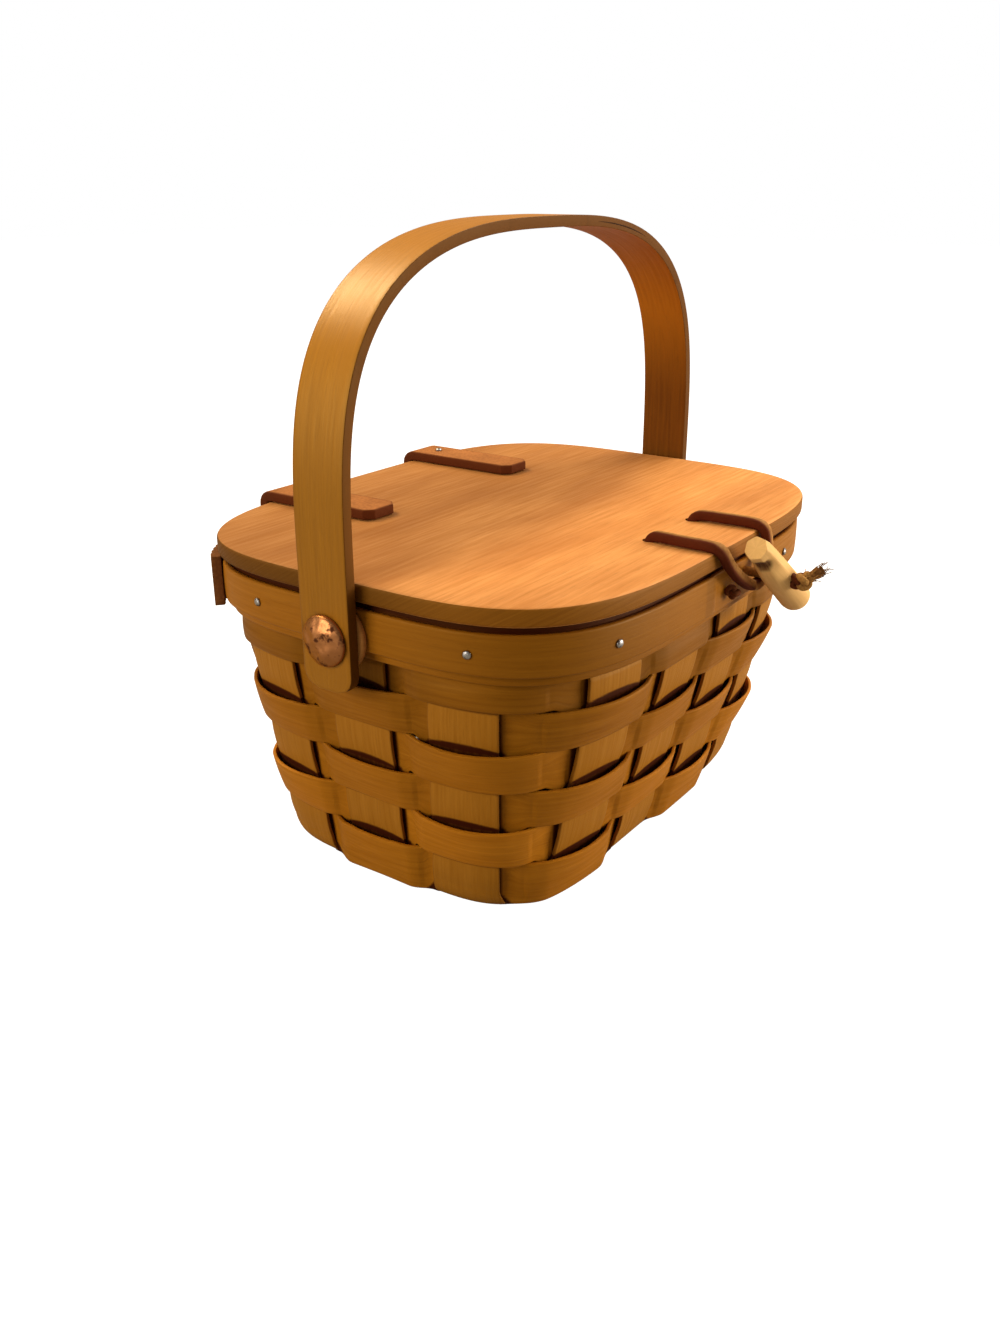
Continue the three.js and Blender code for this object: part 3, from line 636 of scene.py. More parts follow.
@dataclass(frozen=True)
class Wood(Finish):
    """Split wood under an oil stain."""

    light: Colour = (0.5, 0.27, 0.08)
    dark: Colour = (0.3, 0.14, 0.03)
    shade: Colour = (0.4, 0.2, 0.05)
    # The colour of stain, which the painted shade is given too
    stain: Colour = (0.045, 0.006, 0.0015)
    pore: float = 0.35
    fineness: float = 1.0
    drift: float = 0.6
    pore_tone: float = 0.45
    relief: float = 0.12
    pale_rough: float = -0.06
    dark_rough: float = 0.08

    def paint(self, hand: Tree, shader: Node) -> None:
        """Grain along the strip, stain and painted shade in the crevices, painted light from the tone, and a
        dull gloss.

        Args:
            hand: The hand on the material's tree.
            shader: The shader to feed.
        """
        strip = hand.add("ShaderNodeUVMap", uv_map=STRIP_MAP)
        wear = hand.add("ShaderNodeUVMap", uv_map=WEAR_MAP)
        scale = (1.0, self.fineness, 1.0)
        scaled = hand.add("ShaderNodeMapping", {"Vector": strip.outputs[0], "Scale": scale})
        grain = hand.add("ShaderNodeGroup", {}, node_tree=grain_group())
        hand.tree.links.new(scaled.outputs[0], grain.inputs["Vector"])
        split = hand.add("ShaderNodeSeparateXYZ", {0: wear.outputs[0]})
        stain = hand.add("ShaderNodeGroup", {}, node_tree=stain_group())
        hand.tree.links.new(split.outputs[0], stain.inputs["Wear"])
        hand.tree.links.new(grain.outputs["Streaks"], stain.inputs["Streaks"])
        tone = hand.mix(grain.outputs["Streaks"], self.dark, self.light)
        drifted = hand.mix(hand.math("MULTIPLY", grain.outputs["Drift"], self.drift), tone, self.shade)
        pores = hand.math("MULTIPLY", grain.outputs["Pores"], self.pore)
        # The tone channel lightens or darkens the colour: painted light on the weavers, bands, lid and handle
        toned = hand.mix(1.0, drifted, hand.math("ADD", split.outputs[1], 1.0), "MULTIPLY")
        pored = hand.mix(pores, toned, tuple(self.pore_tone * value for value in self.dark))
        coloured = hand.mix(stain.outputs["Mask"], pored, self.stain)
        links = hand.tree.links
        links.new(coloured, shader.inputs["Base Color"])
        limits = self.roughness + self.dark_rough, self.roughness + self.pale_rough
        links.new(hand.fit(grain.outputs["Streaks"], 0.0, 1.0, *limits), shader.inputs["Roughness"])
        relief = hand.math("SUBTRACT", grain.outputs["Streaks"], pores)
        self.raise_by(hand, shader, relief, self.relief)


@dataclass(frozen=True)
class Leather(Finish):
    """Leather: a fine pebble, a slow drift of tone, and another tone where it is worn or cut, and on the lace
    where shade is painted.
    """

    light: Colour = (0.35, 0.16, 0.06)
    dark: Colour = (0.12, 0.035, 0.015)
    pebble: float = 900.0
    drift: float = 110.0
    drift_tone: float = 0.72
    crease: float = 0.3
    wear: float = 0.95
    relief: float = 0.15

    def paint(self, hand: Tree, shader: Node) -> None:
        """Pebbled colour and bump, darker where the wear map says.

        Args:
            hand: The hand on the material's tree.
            shader: The shader to feed.
        """
        place = hand.add("ShaderNodeTexCoord").outputs["Object"]
        cells = hand.add("ShaderNodeTexVoronoi", {"Vector": place, "Scale": self.pebble})
        drift = hand.noise(place, (self.drift,) * 3, 4.0, 0.6)
        wear = hand.add("ShaderNodeUVMap", uv_map=WEAR_MAP)
        split = hand.add("ShaderNodeSeparateXYZ", {0: wear.outputs[0]})
        drifted = tuple(self.drift_tone * value for value in self.light)
        tone = hand.mix(hand.fit(drift, 0.3, 0.7), self.light, drifted)
        creases = hand.mix(hand.fit(cells.outputs[0], 0.2, 0.8, 0.0, self.crease), tone, self.dark)
        worn = hand.mix(hand.math("MULTIPLY", split.outputs[0], self.wear), creases, self.dark)
        hand.tree.links.new(worn, shader.inputs["Base Color"])
        self.raise_by(hand, shader, hand.fit(cells.outputs[0], 0.0, 1.0, 1.0, 0.0), self.relief)


@dataclass(frozen=True)
class Metal(Finish):
    """Hammered or stamped metal with tarnish in its hollows."""

    light: Colour = (0.8, 0.42, 0.25)
    tarnish: Colour = (0.12, 0.04, 0.02)
    patch: float = 420.0
    reach: float = 0.6
    blur: float = 0.06
    dullness: float = 0.3
    relief: float = 0.1

    def paint(self, hand: Tree, shader: Node) -> None:
        """Bright metal with patches of tarnish that are also rougher.

        Args:
            hand: The hand on the material's tree.
            shader: The shader to feed.
        """
        place = hand.add("ShaderNodeTexCoord").outputs["Object"]
        spots = hand.noise(place, (self.patch,) * 3, 3.0, 0.6)
        mask = hand.fit(spots, self.reach - self.blur, self.reach + self.blur)
        fine = hand.noise(place, (4.0 * self.patch,) * 3, 2.0, 0.5)
        shader.inputs["Metallic"].default_value = 1.0
        links = hand.tree.links
        links.new(hand.mix(mask, self.light, self.tarnish), shader.inputs["Base Color"])
        rough = hand.fit(mask, 0.0, 1.0, self.roughness, self.roughness + self.dullness)
        links.new(rough, shader.inputs["Roughness"])
        self.raise_by(hand, shader, fine, self.relief)


@dataclass(frozen=True)
class Plaster(Finish):
    """The pale studio floor, with a dark area under the basket: its half sizes and its middle."""

    colour: Colour = (0.3, 0.28, 0.25)
    fleck: Colour = (0.2, 0.2, 0.2)
    shadow: tuple[float, float] = (0.077, 0.058)
    shadow_middle: tuple[float, float] = (0.0, 0.007)
    shadow_power: float = 4.0

    def paint(self, hand: Tree, shader: Node) -> None:
        """A pale colour that the camera sees as the photograph's plain white.

        Args:
            hand: The hand on the material's tree.
            shader: The shader to feed.
        """
        place = hand.add("ShaderNodeTexCoord").outputs["Object"]
        mottle = hand.noise(place, (3.0, 3.0, 3.0), 2.0, 0.5)
        tint = hand.mix(hand.fit(mottle, 0.3, 0.7, 0.0, 0.04), self.colour, self.fleck)
        hand.tree.links.new(tint, shader.inputs["Base Color"])
        seen = hand.add("ShaderNodeLightPath").outputs["Is Camera Ray"]
        apart = hand.add("ShaderNodeSeparateXYZ", {0: place}).outputs
        spans = []
        for axis, half, middle in zip(apart, self.shadow, self.shadow_middle):
            share = hand.math("DIVIDE", hand.math("SUBTRACT", axis, middle), half)
            spans.append(hand.math("POWER", share, self.shadow_power))
        open_floor = hand.fit(hand.math("ADD", *spans), 0.8, 1.0)
        shader.inputs["Emission Strength"].default_value = 1.0
        lit = hand.mix(hand.math("MULTIPLY", seen, open_floor), (0.0, 0.0, 0.0), (1.0, 1.0, 1.0))
        hand.tree.links.new(lit, shader.inputs["Emission Color"])


UPRIGHT_WOOD = Wood(
    "upright_splint", 0.55, 0.4, (0.41, 0.16, 0.015), (0.3, 0.105, 0.006), (0.35, 0.128, 0.009)
)
WEAVER_WOOD = Wood("weaver_splint", 0.52, 0.4, (0.36, 0.128, 0.007), (0.25, 0.08, 0.003), (0.3, 0.1, 0.004))
RIM_WOOD = Wood("rim_band", 0.48, 0.35, (0.33, 0.118, 0.007), (0.23, 0.075, 0.003), (0.28, 0.092, 0.004))
# A near black stand-in for the open check: painted shade in the crack
CRACK_WOOD = Wood("open_check", 0.8, 0.2, (0.03, 0.006, 0.002), (0.02, 0.004, 0.001), (0.02, 0.004, 0.001))
HANDLE_WOOD = Wood(
    "bent_handle", 0.4, 0.3, (0.34, 0.128, 0.006), (0.25, 0.088, 0.003), (0.3, 0.107, 0.004), gloss=0.5
)
HANDLE_SIDE_WOOD = Wood(
    "handle_side", 0.6, 0.3, (0.19, 0.066, 0.004), (0.12, 0.038, 0.002), (0.15, 0.05, 0.003)
)
HANDLE_INSIDE_WOOD = Wood(
    "handle_inside", 0.55, 0.3, (0.3, 0.1, 0.006), (0.22, 0.07, 0.004), (0.26, 0.085, 0.005)
)
LID_WOOD = Wood(
    "lid_board", 0.48, 0.3, (0.78, 0.34, 0.1), (0.56, 0.21, 0.052), (0.4, 0.132, 0.028),
    pore=0.45, fineness=0.75, gloss=0.06,
)
LID_EDGE_WOOD = Wood(
    "lid_end_grain", 0.55, 0.4, (0.25, 0.09, 0.008), (0.16, 0.05, 0.003), (0.2, 0.068, 0.005)
)
SPACER_WOOD = Wood("spacer_disc", 0.5, 0.3, (0.5, 0.21, 0.06), (0.36, 0.14, 0.03), (0.43, 0.17, 0.04))
PEG_WOOD = Wood("carved_peg", 0.5, 0.3, (0.87, 0.5, 0.18), (0.72, 0.39, 0.12), (0.8, 0.45, 0.15), pore=0.2)
STRAP_LEATHER = Leather("hinge_hide", 0.7, 0.35, (0.46, 0.168, 0.047), (0.085, 0.017, 0.005), gloss=0.06)
TAB_LEATHER = Leather("tab_leather", 0.65, 0.4, (0.25, 0.09, 0.025), (0.06, 0.014, 0.006), gloss=0.06)
LACE_LEATHER = Leather("lace_hide", 0.65, 0.4, (0.5, 0.23, 0.06), (0.085, 0.011, 0.005), gloss=0.06)
THONG_LEATHER = Leather(
    "thong_fibre", 0.75, 0.6, (0.5, 0.24, 0.06), (0.07, 0.016, 0.005), pebble=1400.0, gloss=0.04
)
COPPER = Metal("copper_rivet", 0.42, 0.4, (0.47, 0.19, 0.065), (0.11, 0.036, 0.015), 330.0, 0.57)
NICKEL = Metal("nickel_tack", 0.42, 0.2, (0.4, 0.38, 0.36), (0.12, 0.09, 0.08), 900.0, 0.58)


@dataclass(frozen=True)
class Outline:
    """A rounded rectangle: its half sizes and how square its corners are."""

    half_x: float
    half_y: float
    squareness: float

    def at(self, bearings: np.ndarray, offset: np.ndarray | float = 0.0) -> np.ndarray:
        """Points of the outline at bearings from its middle, moved out along its normal.

        Args:
            bearings: The bearings.
            offset: How far out each point is moved.

        Returns:
            One point a row.
        """
        power = self.squareness
        cos, sin = np.cos(bearings), np.sin(bearings)
        total = np.abs(cos / self.half_x) ** power + np.abs(sin / self.half_y) ** power
        x, y = cos * total ** (-1.0 / power), sin * total ** (-1.0 / power)
        nx = np.sign(x) * np.abs(x / self.half_x) ** (power - 1.0) / self.half_x
        ny = np.sign(y) * np.abs(y / self.half_y) ** (power - 1.0) / self.half_y
        size = np.hypot(nx, ny)
        return np.stack([x + nx / size * offset, y + ny / size * offset], -1)

    @lru_cache(maxsize=None)
    def table(self) -> tuple[np.ndarray, np.ndarray]:
        """Bearings around the outline and the length walked to each, anticlockwise from +X."""
        bearings = np.linspace(0.0, 2.0 * math.pi, 2401)
        return bearings, run_lengths(self.at(bearings))

    def length_to(self, bearing: float) -> float:
        """The length walked from +X to a bearing."""
        bearings, lengths = self.table()
        return float(np.interp(bearing % (2.0 * math.pi), bearings, lengths))

    def bearing_at(self, lengths_walked: np.ndarray) -> np.ndarray:
        """The bearings after walks from +X.

        Args:
            lengths_walked: How long each walk is.

        Returns:
            One bearing a walk.
        """
        bearings, lengths = self.table()
        turns = np.floor(lengths_walked / lengths[-1])
        inside = lengths_walked - turns * lengths[-1]
        return np.interp(inside, lengths, bearings) + turns * 2.0 * math.pi

    def reach(self, run: Run, lateral: float) -> float:
        """How far the outline reaches along an axis at a place across it.

        Args:
            run: The axis.
            lateral: The place across it.

        Returns:
            The distance from the middle.
        """
        far, across = (self.half_x, self.half_y) if run is Run.X else (self.half_y, self.half_x)
        share = min(abs(lateral / across), 1.0)
        return far * (1.0 - share**self.squareness) ** (1.0 / self.squareness)


@dataclass(frozen=True)
class WallForm:
    """The flaring wall that everything is woven on or clamped to."""

    base: Outline = Outline(84.0, 55.6, 5.0)
    rim: Outline = Outline(92.5, 72.9, 4.2)
    flare_height: float = 74.3
    top: float = 102.7
    trim_outer: float = 6.3
    band_inner: float = 2.4
    band_outer: float = 4.0

    @lru_cache(maxsize=None)
    def at(self, height: float) -> Outline:
        """The outline of the wall's middle surface at a height.

        Args:
            height: The height.

        Returns:
            The outline.
        """
        share = min(max(height / self.flare_height, 0.0), 1.0)
        limits = [
            (self.base.half_x, self.rim.half_x),
            (self.base.half_y, self.rim.half_y),
            (self.base.squareness, self.rim.squareness),
        ]
        return Outline(*(low + (high - low) * share for low, high in limits))

    def rim_place(self, run: Run, side: int, lateral: float, height: float, offset: float) -> Matrix:
        """A place on the rim that faces outwards.

        Args:
            run: The axis that the wall stands across.
            side: -1 or 1 along that axis.
            lateral: The place along the wall.
            height: The height.
            offset: How far out from the wall's middle surface.

        Returns:
            The place, in millimetres.
        """
        reach = side * self.rim.reach(run, lateral)
        bearing = math.atan2(lateral, reach) if run is Run.X else math.atan2(reach, lateral)
        return self.rim_at(bearing, height, offset)

    def rim_at(self, bearing: float, height: float, offset: float) -> Matrix:
        """A place on the rim at a bearing that faces outwards.

        Args:
            bearing: The bearing from the rim's middle.
            height: The height.
            offset: How far out from the wall's middle surface.

        Returns:
            The place, in millimetres.
        """
        angle = np.array([bearing])
        near, far = self.rim.at(angle, 0.0)[0], self.rim.at(angle, 1.0)[0]
        point = near + (far - near) * offset
        return facing((*point, height), (*(far - near), 0.0))


@dataclass(frozen=True)
class Row:
    """One weaver: its place in the wall and its lower and upper edge."""

    number: int
    bottom: float
    top: float


@dataclass(frozen=True)
class Splint:
    """One upright splint: its node, the axis it runs along, and its place at the base and the rim."""

    node: str
    run: Run
    base: float
    rim: float
    crossings: tuple[tuple[float, bool], ...]


@dataclass
class WovenWall:
    """The uprights and the weavers."""

    # Lower and upper edges of the rows from the base up, and the tone of each row from the rim down: painted
    # light, the lower rows lighter as light from the floor makes them
    ROW_EDGES = ((7.5, 17.9), (18.3, 31.95), (32.35, 46.0), (46.4, 60.05), (60.45, 74.1), (74.5, 88.15))
    TONES = (-0.25, -0.05, 0.12, 0.18, 0.4, 0.3)
    # Places of the splints across their run, at the base and at the rim
    PLACES = {
        Run.X: ((-33.0, -39.0), (0.0, 0.0), (33.0, 39.0)),
        Run.Y: ((-55.0, -56.5), (-18.0, -18.5), (18.0, 18.5), (55.0, 56.5)),
    }
    MID_HEIGHT = 50.0
    # How far the grain is shifted, along and across, from one splint or row to the next
    UPRIGHT_SHIFT = (613.0, 41.0)
    WEAVER_SHIFT = (487.0, 37.0)
    # Darkening of the uprights in the open, also the painted shade along a weaver's lower edge; painted shade
    # behind a weaver, along the edges and under a weaver; stain in the base
    OPEN_STAIN = 0.35
    HIDDEN_STAIN = 0.8
    EDGE_STAIN = 0.5
    UNDER_STAIN = 0.7
    BASE_EDGE_STAIN = 0.45
    BASE_STAIN = 0.25
    EDGE_FADE = 0.7
    # How far the painted shade in a weaver's corners beside the uprights reaches, along and up, at its lower
    # and its upper edge
    LOW_CORNER = (5.5, 3.2)
    HIGH_CORNER = (4.0, 2.4)

    form: WallForm
    splint_width: float = 23.0
    splint_thickness: float = 1.2
    splint_step: float = 0.65
    splint_columns: int = 25
    weaver_thickness: float = 1.2
    weaver_step: float = 0.7
    weaver_rows: int = 19
    weave_offset: float = 1.5
    margin: float = 1.2
    bend_radius: float = 4.5
    ramp: float = 3.5
    low: float = 0.6
    high: float = 2.1
    top_inset: float = 1.7
    swell: float = 1.0
    lean: float = 1.15
    crescent: float = 1.7
    fade: float = 5.0
    tuck: float = 3.2
    crown: float = 0.25
    bow: float = 0.4
    sink: float = 0.6
    foot: float = 6.4
    wobble: float = 0.18
    bow_end: float = 82.0
    clamp_start: float = 78.0
    clamp_fade: float = 5.0

    def __post_init__(self) -> None:
        """Lists the rows and the splints, and finds which upright stands where."""
        self.last_row = len(self.ROW_EDGES) - 1
        self.rows = [Row(self.last_row - k, low, high) for k, (low, high) in enumerate(self.ROW_EDGES)]
        self.splints = [
            Splint(
                f"splint_{run.name.lower()}_{number + 1}", run, base, rim,
                tuple(
                    (place, (number + other + run.value) % 2 == 1)
                    for other, (place, _) in enumerate(self.PLACES[crossed])
                ),
            )
            for run, crossed in ((Run.X, Run.Y), (Run.Y, Run.X))
            for number, (base, rim) in enumerate(self.PLACES[run])
        ]
        self.stands = [(splint, side) for splint in self.splints for side in (-1, 1)]
        self.stands.sort(key=lambda stand: self.bearing(*stand, self.MID_HEIGHT))
        self.order = {(splint.node, side): number for number, (splint, side) in enumerate(self.stands)}

    def bearing(self, splint: Splint, side: int, height: float) -> float:
        """The bearing where a splint's middle line crosses the wall on one side.

        Args:
            splint: The splint.
            side: Which of its two walls.
            height: The height.

        Returns:
            The bearing, from 0 to a full turn.
        """
        share = min(height / self.form.flare_height, 1.0)
        lateral = splint.base + (splint.rim - splint.base) * share
        reach = side * self.form.at(height).reach(splint.run, lateral)
        angle = math.atan2(lateral, reach) if splint.run is Run.X else math.atan2(reach, lateral)
        return angle if angle > -1e-9 else angle + 2.0 * math.pi

    def shows(self, number: int, row: Row) -> bool:
        """Whether an upright shows in front of a row's weaver."""
        return (number + row.number) % 2 == 1

    def wall_line(self, splint: Splint, side: int, height: float, shares: np.ndarray) -> np.ndarray:
        """Points across an upright at one height of the wall.

        Args:
            splint: The splint.
            side: Which of its two walls.
            height: The height.
            shares: Places across it, from -0.5 to 0.5.

        Returns:
            One point a row.
        """
        outline = self.form.at(height)
        turn = side if splint.run is Run.X else -side
        start = outline.length_to(self.bearing(splint, side, height))
        bearings = outline.bearing_at(start + turn * shares * self.splint_width)
        number = self.order[(splint.node, side)]
        offset = 0.0
        for row in self.rows:
            share = (height - row.bottom) / (row.top - row.bottom)
            if 0.0 < share < 1.0 and height < self.bow_end:
                way = 1.0 if self.shows(number, row) else -self.sink
                offset = self.bow * math.sin(math.pi * share) * way
        return lifted(outline.at(bearings, offset), height)

    def wall_wear(self, splint: Splint, side: int, height: float, shares: np.ndarray) -> np.ndarray:
        """How dark an upright is painted across one height of the wall: painted shade behind, under and above
        the weavers and along its edges.

        Args:
            splint: The splint.
            side: Which of its two walls.
            height: The height.
            shares: Places across it, from -0.5 to 0.5.

        Returns:
            The darkening at each place.
        """
        number = self.order[(splint.node, side)]
        wear = self.OPEN_STAIN
        for row in self.rows:
            if row.bottom - CLEARANCE <= height <= row.top + CLEARANCE:
                if not self.shows(number, row):
                    # Painted shade where a weaver hides the upright
                    wear = self.HIDDEN_STAIN
                    continue
                # Painted shade: a dark crescent above the weaver below, in the gap where it stands out from
                # the upright, and a band under the weaver above
                lens = self.crescent * np.cos(math.pi * 0.96 * shares) ** 0.6
                low = smooth((lens - height + row.bottom) / 1.3 + 0.5) * (row.number < self.last_row)
                wear = np.maximum(low, self.UNDER_STAIN * bell(row.top - height, 0.8))
        # Painted shade along the upright's edges
        return np.maximum(self.edge_wear(shares, self.EDGE_STAIN), wear)

    def edge_wear(self, shares: np.ndarray, stain: float) -> np.ndarray:
        """The darkening along a splint's two edges: painted shade on the walls, stain on the base."""
        return stain * bell((0.5 - np.abs(shares)) * self.splint_width, self.EDGE_FADE)

    def base_reach(self, splint: Splint, lateral: np.ndarray) -> np.ndarray:
        """How far the base reaches along a splint at places across it."""
        return np.array([self.form.at(0.0).reach(splint.run, place) for place in lateral])

    @staticmethod
    def plan(splint: Splint, along: np.ndarray, lateral: np.ndarray, up: np.ndarray) -> np.ndarray:
        """Points from places along, across and above a splint's run over the base."""
        return np.column_stack([along, lateral, up] if splint.run is Run.X else [lateral, along, up])

    def base_line(self, splint: Splint, share: float, shares: np.ndarray) -> np.ndarray:
        """Points across a splint at a share of the way from the middle of the base to its edge.

        Args:
            splint: The splint.
            share: The share of the way, negative to one side.
            shares: Places across it, from -0.5 to 0.5.

        Returns:
            One point a row.
        """
        lateral = splint.base + shares * self.splint_width
        along = share * (self.base_reach(splint, lateral) - self.bend_radius)
        up = np.array([self.level(splint, run) for run in along])
        return self.plan(splint, along, lateral, up)

    def level(self, splint: Splint, run: float) -> float:
        """How high a splint lies at a place of the base: it rises to pass over a crossing.

        Args:
            splint: The splint.
            run: The place along it.

        Returns:
            The height of its middle surface.
        """
        half = self.splint_width / 2 + self.margin
        last = len(splint.crossings) - 1
        lift = 0.0
        for number, (place, over) in enumerate(splint.crossings):
            outside = (number == 0 and run < place) or (number == last and run > place)
            gap = 0.0 if outside else max(abs(run - place) - half, 0.0)
            lift = max(lift, float(smooth(1.0 - gap / self.ramp)) if over else 0.0)
        return self.low + (self.high - self.low) * lift

    def bend(self, splint: Splint, side: int, level: float, shares: np.ndarray) -> list[np.ndarray]:
        """The turn from the base up to the wall, from the base outwards.

        Args:
            splint: The splint.
            side: Which of its two walls.
            level: How high it lies at the edge of the base.
            shares: Places across it, from -0.5 to 0.5.

        Returns:
            The points across it at each step of the turn.
        """
        foot = self.wall_line(splint, side, self.high + self.bend_radius, shares)
        lateral = splint.base + shares * self.splint_width
        edge = side * self.base_reach(splint, lateral)
        up = np.full(len(shares), level)
        start = self.plan(splint, edge - side * self.bend_radius, lateral, up)
        corner = self.plan(splint, edge, lateral, up)
        steps = np.linspace(0.0, 1.0, 9)
        return [(1 - t) ** 2 * start + 2 * t * (1 - t) * corner + t * t * foot for t in steps]

    def build_upright(self, splint: Splint, number: int) -> Piece:
        """One splint from the top of one wall, under the base, to the top of the other.

        Args:
            splint: The splint.
            number: Its number, which shifts its grain.

        Returns:
            The new piece.
        """
        shares = np.linspace(-0.5, 0.5, self.splint_columns) * (-1 if splint.run is Run.X else 1)
        lowest = self.high + self.bend_radius + 1.0
        heights = np.arange(lowest, self.form.top - self.top_inset, self.splint_step)
        walls, wears = {}, {}
        for side in (-1, 1):
            walls[side] = [self.wall_line(splint, side, float(z), shares) for z in heights]
            wears[side] = [self.wall_wear(splint, side, float(z), shares) for z in heights]
        reach = self.form.at(0.0).reach(splint.run, splint.base) - self.bend_radius
        stations = np.linspace(-1.0, 1.0, int(reach) + 2)[1:-1]
        flat = [self.base_line(splint, share, shares) for share in stations]
        left = self.bend(splint, -1, self.level(splint, -reach), shares)
        right = self.bend(splint, 1, self.level(splint, reach), shares)
        lines = walls[-1][::-1] + left[::-1] + flat + right + walls[1]
        plain = np.maximum(self.edge_wear(shares, self.BASE_EDGE_STAIN), self.BASE_STAIN)
        middle = [plain] * (len(left) + len(flat) + len(right))
        wear = np.array(wears[-1][::-1] + middle + wears[1])
        points = np.array(lines).transpose(1, 0, 2)
        along = run_lengths(points[len(shares) // 2]) + self.UPRIGHT_SHIFT[0] * number
        across = shares * self.splint_width + self.UPRIGHT_SHIFT[1] * number
        piece = Bench.lay(f"upright_{splint.node}", points, pairs(along, across), stained(wear.T))
        return Bench.thicken(piece, self.splint_thickness, 0.25)

    def weaver_wear(self, low: float, high: float, gaps: np.ndarray) -> np.ndarray:
        """How much painted shade a weaver has along a line: in its corners and beside the uprights that hide
        it, and along its lower edge.

        Args:
            low: The line's height above the weaver's lower edge.
            high: How far it is below the upper edge.
            gaps: The distance to the upright that hides each place.

        Returns:
            The painted shade at each place.
        """
        corner = np.maximum(
            1.0 - gaps / self.LOW_CORNER[0] - low / self.LOW_CORNER[1],
            1.0 - gaps / self.HIGH_CORNER[0] - high / self.HIGH_CORNER[1],
        )
        line = np.where(gaps > 0, bell(gaps, 1.0), 1.0)
        dark = np.maximum(smooth(corner * 2.5 + 0.1), 0.9 * line)
        # Painted shade along the weaver's lower edge
        return np.maximum(dark, self.OPEN_STAIN * float(bell(low, self.EDGE_FADE)))

    def build_weaver(self, row: Row) -> Piece:
        """One weaver, a closed ring that passes in front of every second upright.

        Args:
            row: The weaver's row.

        Returns:
            The new piece.
        """
        middle = (row.bottom + row.top) / 2
        width = row.top - row.bottom
        outline = self.form.at(middle)
        total = outline.table()[1][-1]
        places = np.linspace(0.0, total, int(total / self.weaver_step) + 1)
        bearings = outline.bearing_at(places)
        centres = np.array([outline.length_to(self.bearing(*stand, middle)) for stand in self.stands])
        signs = np.array([-1.0 if self.shows(k, row) else 1.0 for k in range(len(centres))])
        offset, puff, gaps = self.weave(places, centres, signs, total)
        hidden = self.tuck * smooth((-offset - 0.3) / (self.weave_offset - 0.3))
        reach_down = self.foot * smooth((gaps + 6.0) / 6.0) * (row.number == self.last_row)
        bottom = row.bottom - np.maximum(reach_down, hidden)
        top = row.top + hidden * (row.number > 0)
        wobble = self.wobble * np.sin(places * 2.0 * math.pi * 9 / total + 2.1 * row.number)
        shares = np.linspace(0.0, 1.0, self.weaver_rows)
        lines, wears = [], []
        for share in shares:
            heights = bottom + (top - bottom) * share + wobble
            free = 1.0 - smooth((heights - self.clamp_start) / self.clamp_fade)
            way = 2 * share - 1
            bulge = puff * (self.swell + self.lean * way) + self.crown * np.sign(offset) * (1 - way**2)
            level = float(np.mean(heights))
            lines.append(lifted(self.form.at(level).at(bearings, offset + free * bulge), heights))
            wears.append(self.weaver_wear(share * width, (1 - share) * width, gaps))
        strip = pairs(
            places + self.WEAVER_SHIFT[0] * row.number, shares * width + self.WEAVER_SHIFT[1] * row.number
        )
        # Painted light: the row's painted tone, and a painted highlight on the crest of each stretch in front
        # of an upright
        tones = np.tile(self.TONES[row.number] + 0.15 * puff - 0.06, (len(shares), 1))
        wear = np.stack([np.array(wears), tones], -1)
        piece = Bench.lay(f"weaver_{row.number}", np.array(lines), strip, wear, merge=True)
        return Bench.thicken(piece, self.weaver_thickness, 0.3)

    def weave(
        self, places: np.ndarray, centres: np.ndarray, signs: np.ndarray, total: float
    ) -> tuple[np.ndarray, np.ndarray, np.ndarray]:
        """How a weaver goes in and out along its length.

        Args:
            places: Lengths along the weaver.
            centres: The length at each upright.
            signs: 1 where the weaver is in front of that upright, -1 behind.
            total: The whole length.

        Returns:
            The offset from the wall's middle surface, how far each place is into a front stretch,
            and the distance to the upright that hides it, which is negative behind one.
        """
        half = self.splint_width / 2
        reach = half + self.margin
        offset, puff, gaps = np.zeros((3, len(places)))
        ring = np.concatenate([[centres[-1] - total], centres, [centres[0] + total]])
        sign_ring = np.concatenate([signs[-1:], signs, signs[:1]])
        for k in range(len(ring) - 1):
            here, there = ring[k], ring[k + 1]
            inside = (places >= here) & (places <= there)
            share = (places[inside] - here - reach) / max(there - here - 2 * reach, 1e-6)
            eased = smooth(share)
            offset[inside] = self.weave_offset * (sign_ring[k] * (1 - eased) + sign_ring[k + 1] * eased)
            shown, behind = (here, there) if sign_ring[k] > 0 else (there, here)
            front = np.abs(places[inside] - shown) / (half + self.fade)
            puff[inside] = np.cos(np.clip(front, 0.0, 1.0) * math.pi / 2) ** 1.2
            gaps[inside] = np.abs(places[inside] - behind) - half
        return offset, puff, gaps

    def build(self) -> None:
        """Weaves the wall."""
        for number, splint in enumerate(self.splints):
            dress(self.build_upright(splint, number), UPRIGHT_WOOD, "upright_wood", "basket", splint.node)
        for row in self.rows:
            dress(self.build_weaver(row), WEAVER_WOOD, "weaver_wood", "basket", f"weaver_row_{row.number}")


@dataclass
class Tacks:
    """Small nickel tacks with domed heads."""

    radius: float = 1.3
    height: float = 0.75
    edge: float = 0.25
    seat: float = 0.93
    shank: float = 0.6
    point: float = 0.6

    def build(self, name: str, place: Matrix, length: float) -> Piece:
        """One tack with its head's seat at a place.

        Args:
            name: The new piece's name.
            place: Where the seat is and what it faces.
            length: How long the shank is.

        Returns:
            The new piece.
        """
        shank = [(0.0, -length), (self.shank, self.point - length), (self.shank, 0.0)]
        head = [(self.radius * self.seat, 0.0)] + dome(self.radius, self.edge, self.height, 6)
        return Bench.soften(Bench.turn(name, shank + head, 20, place), 50)


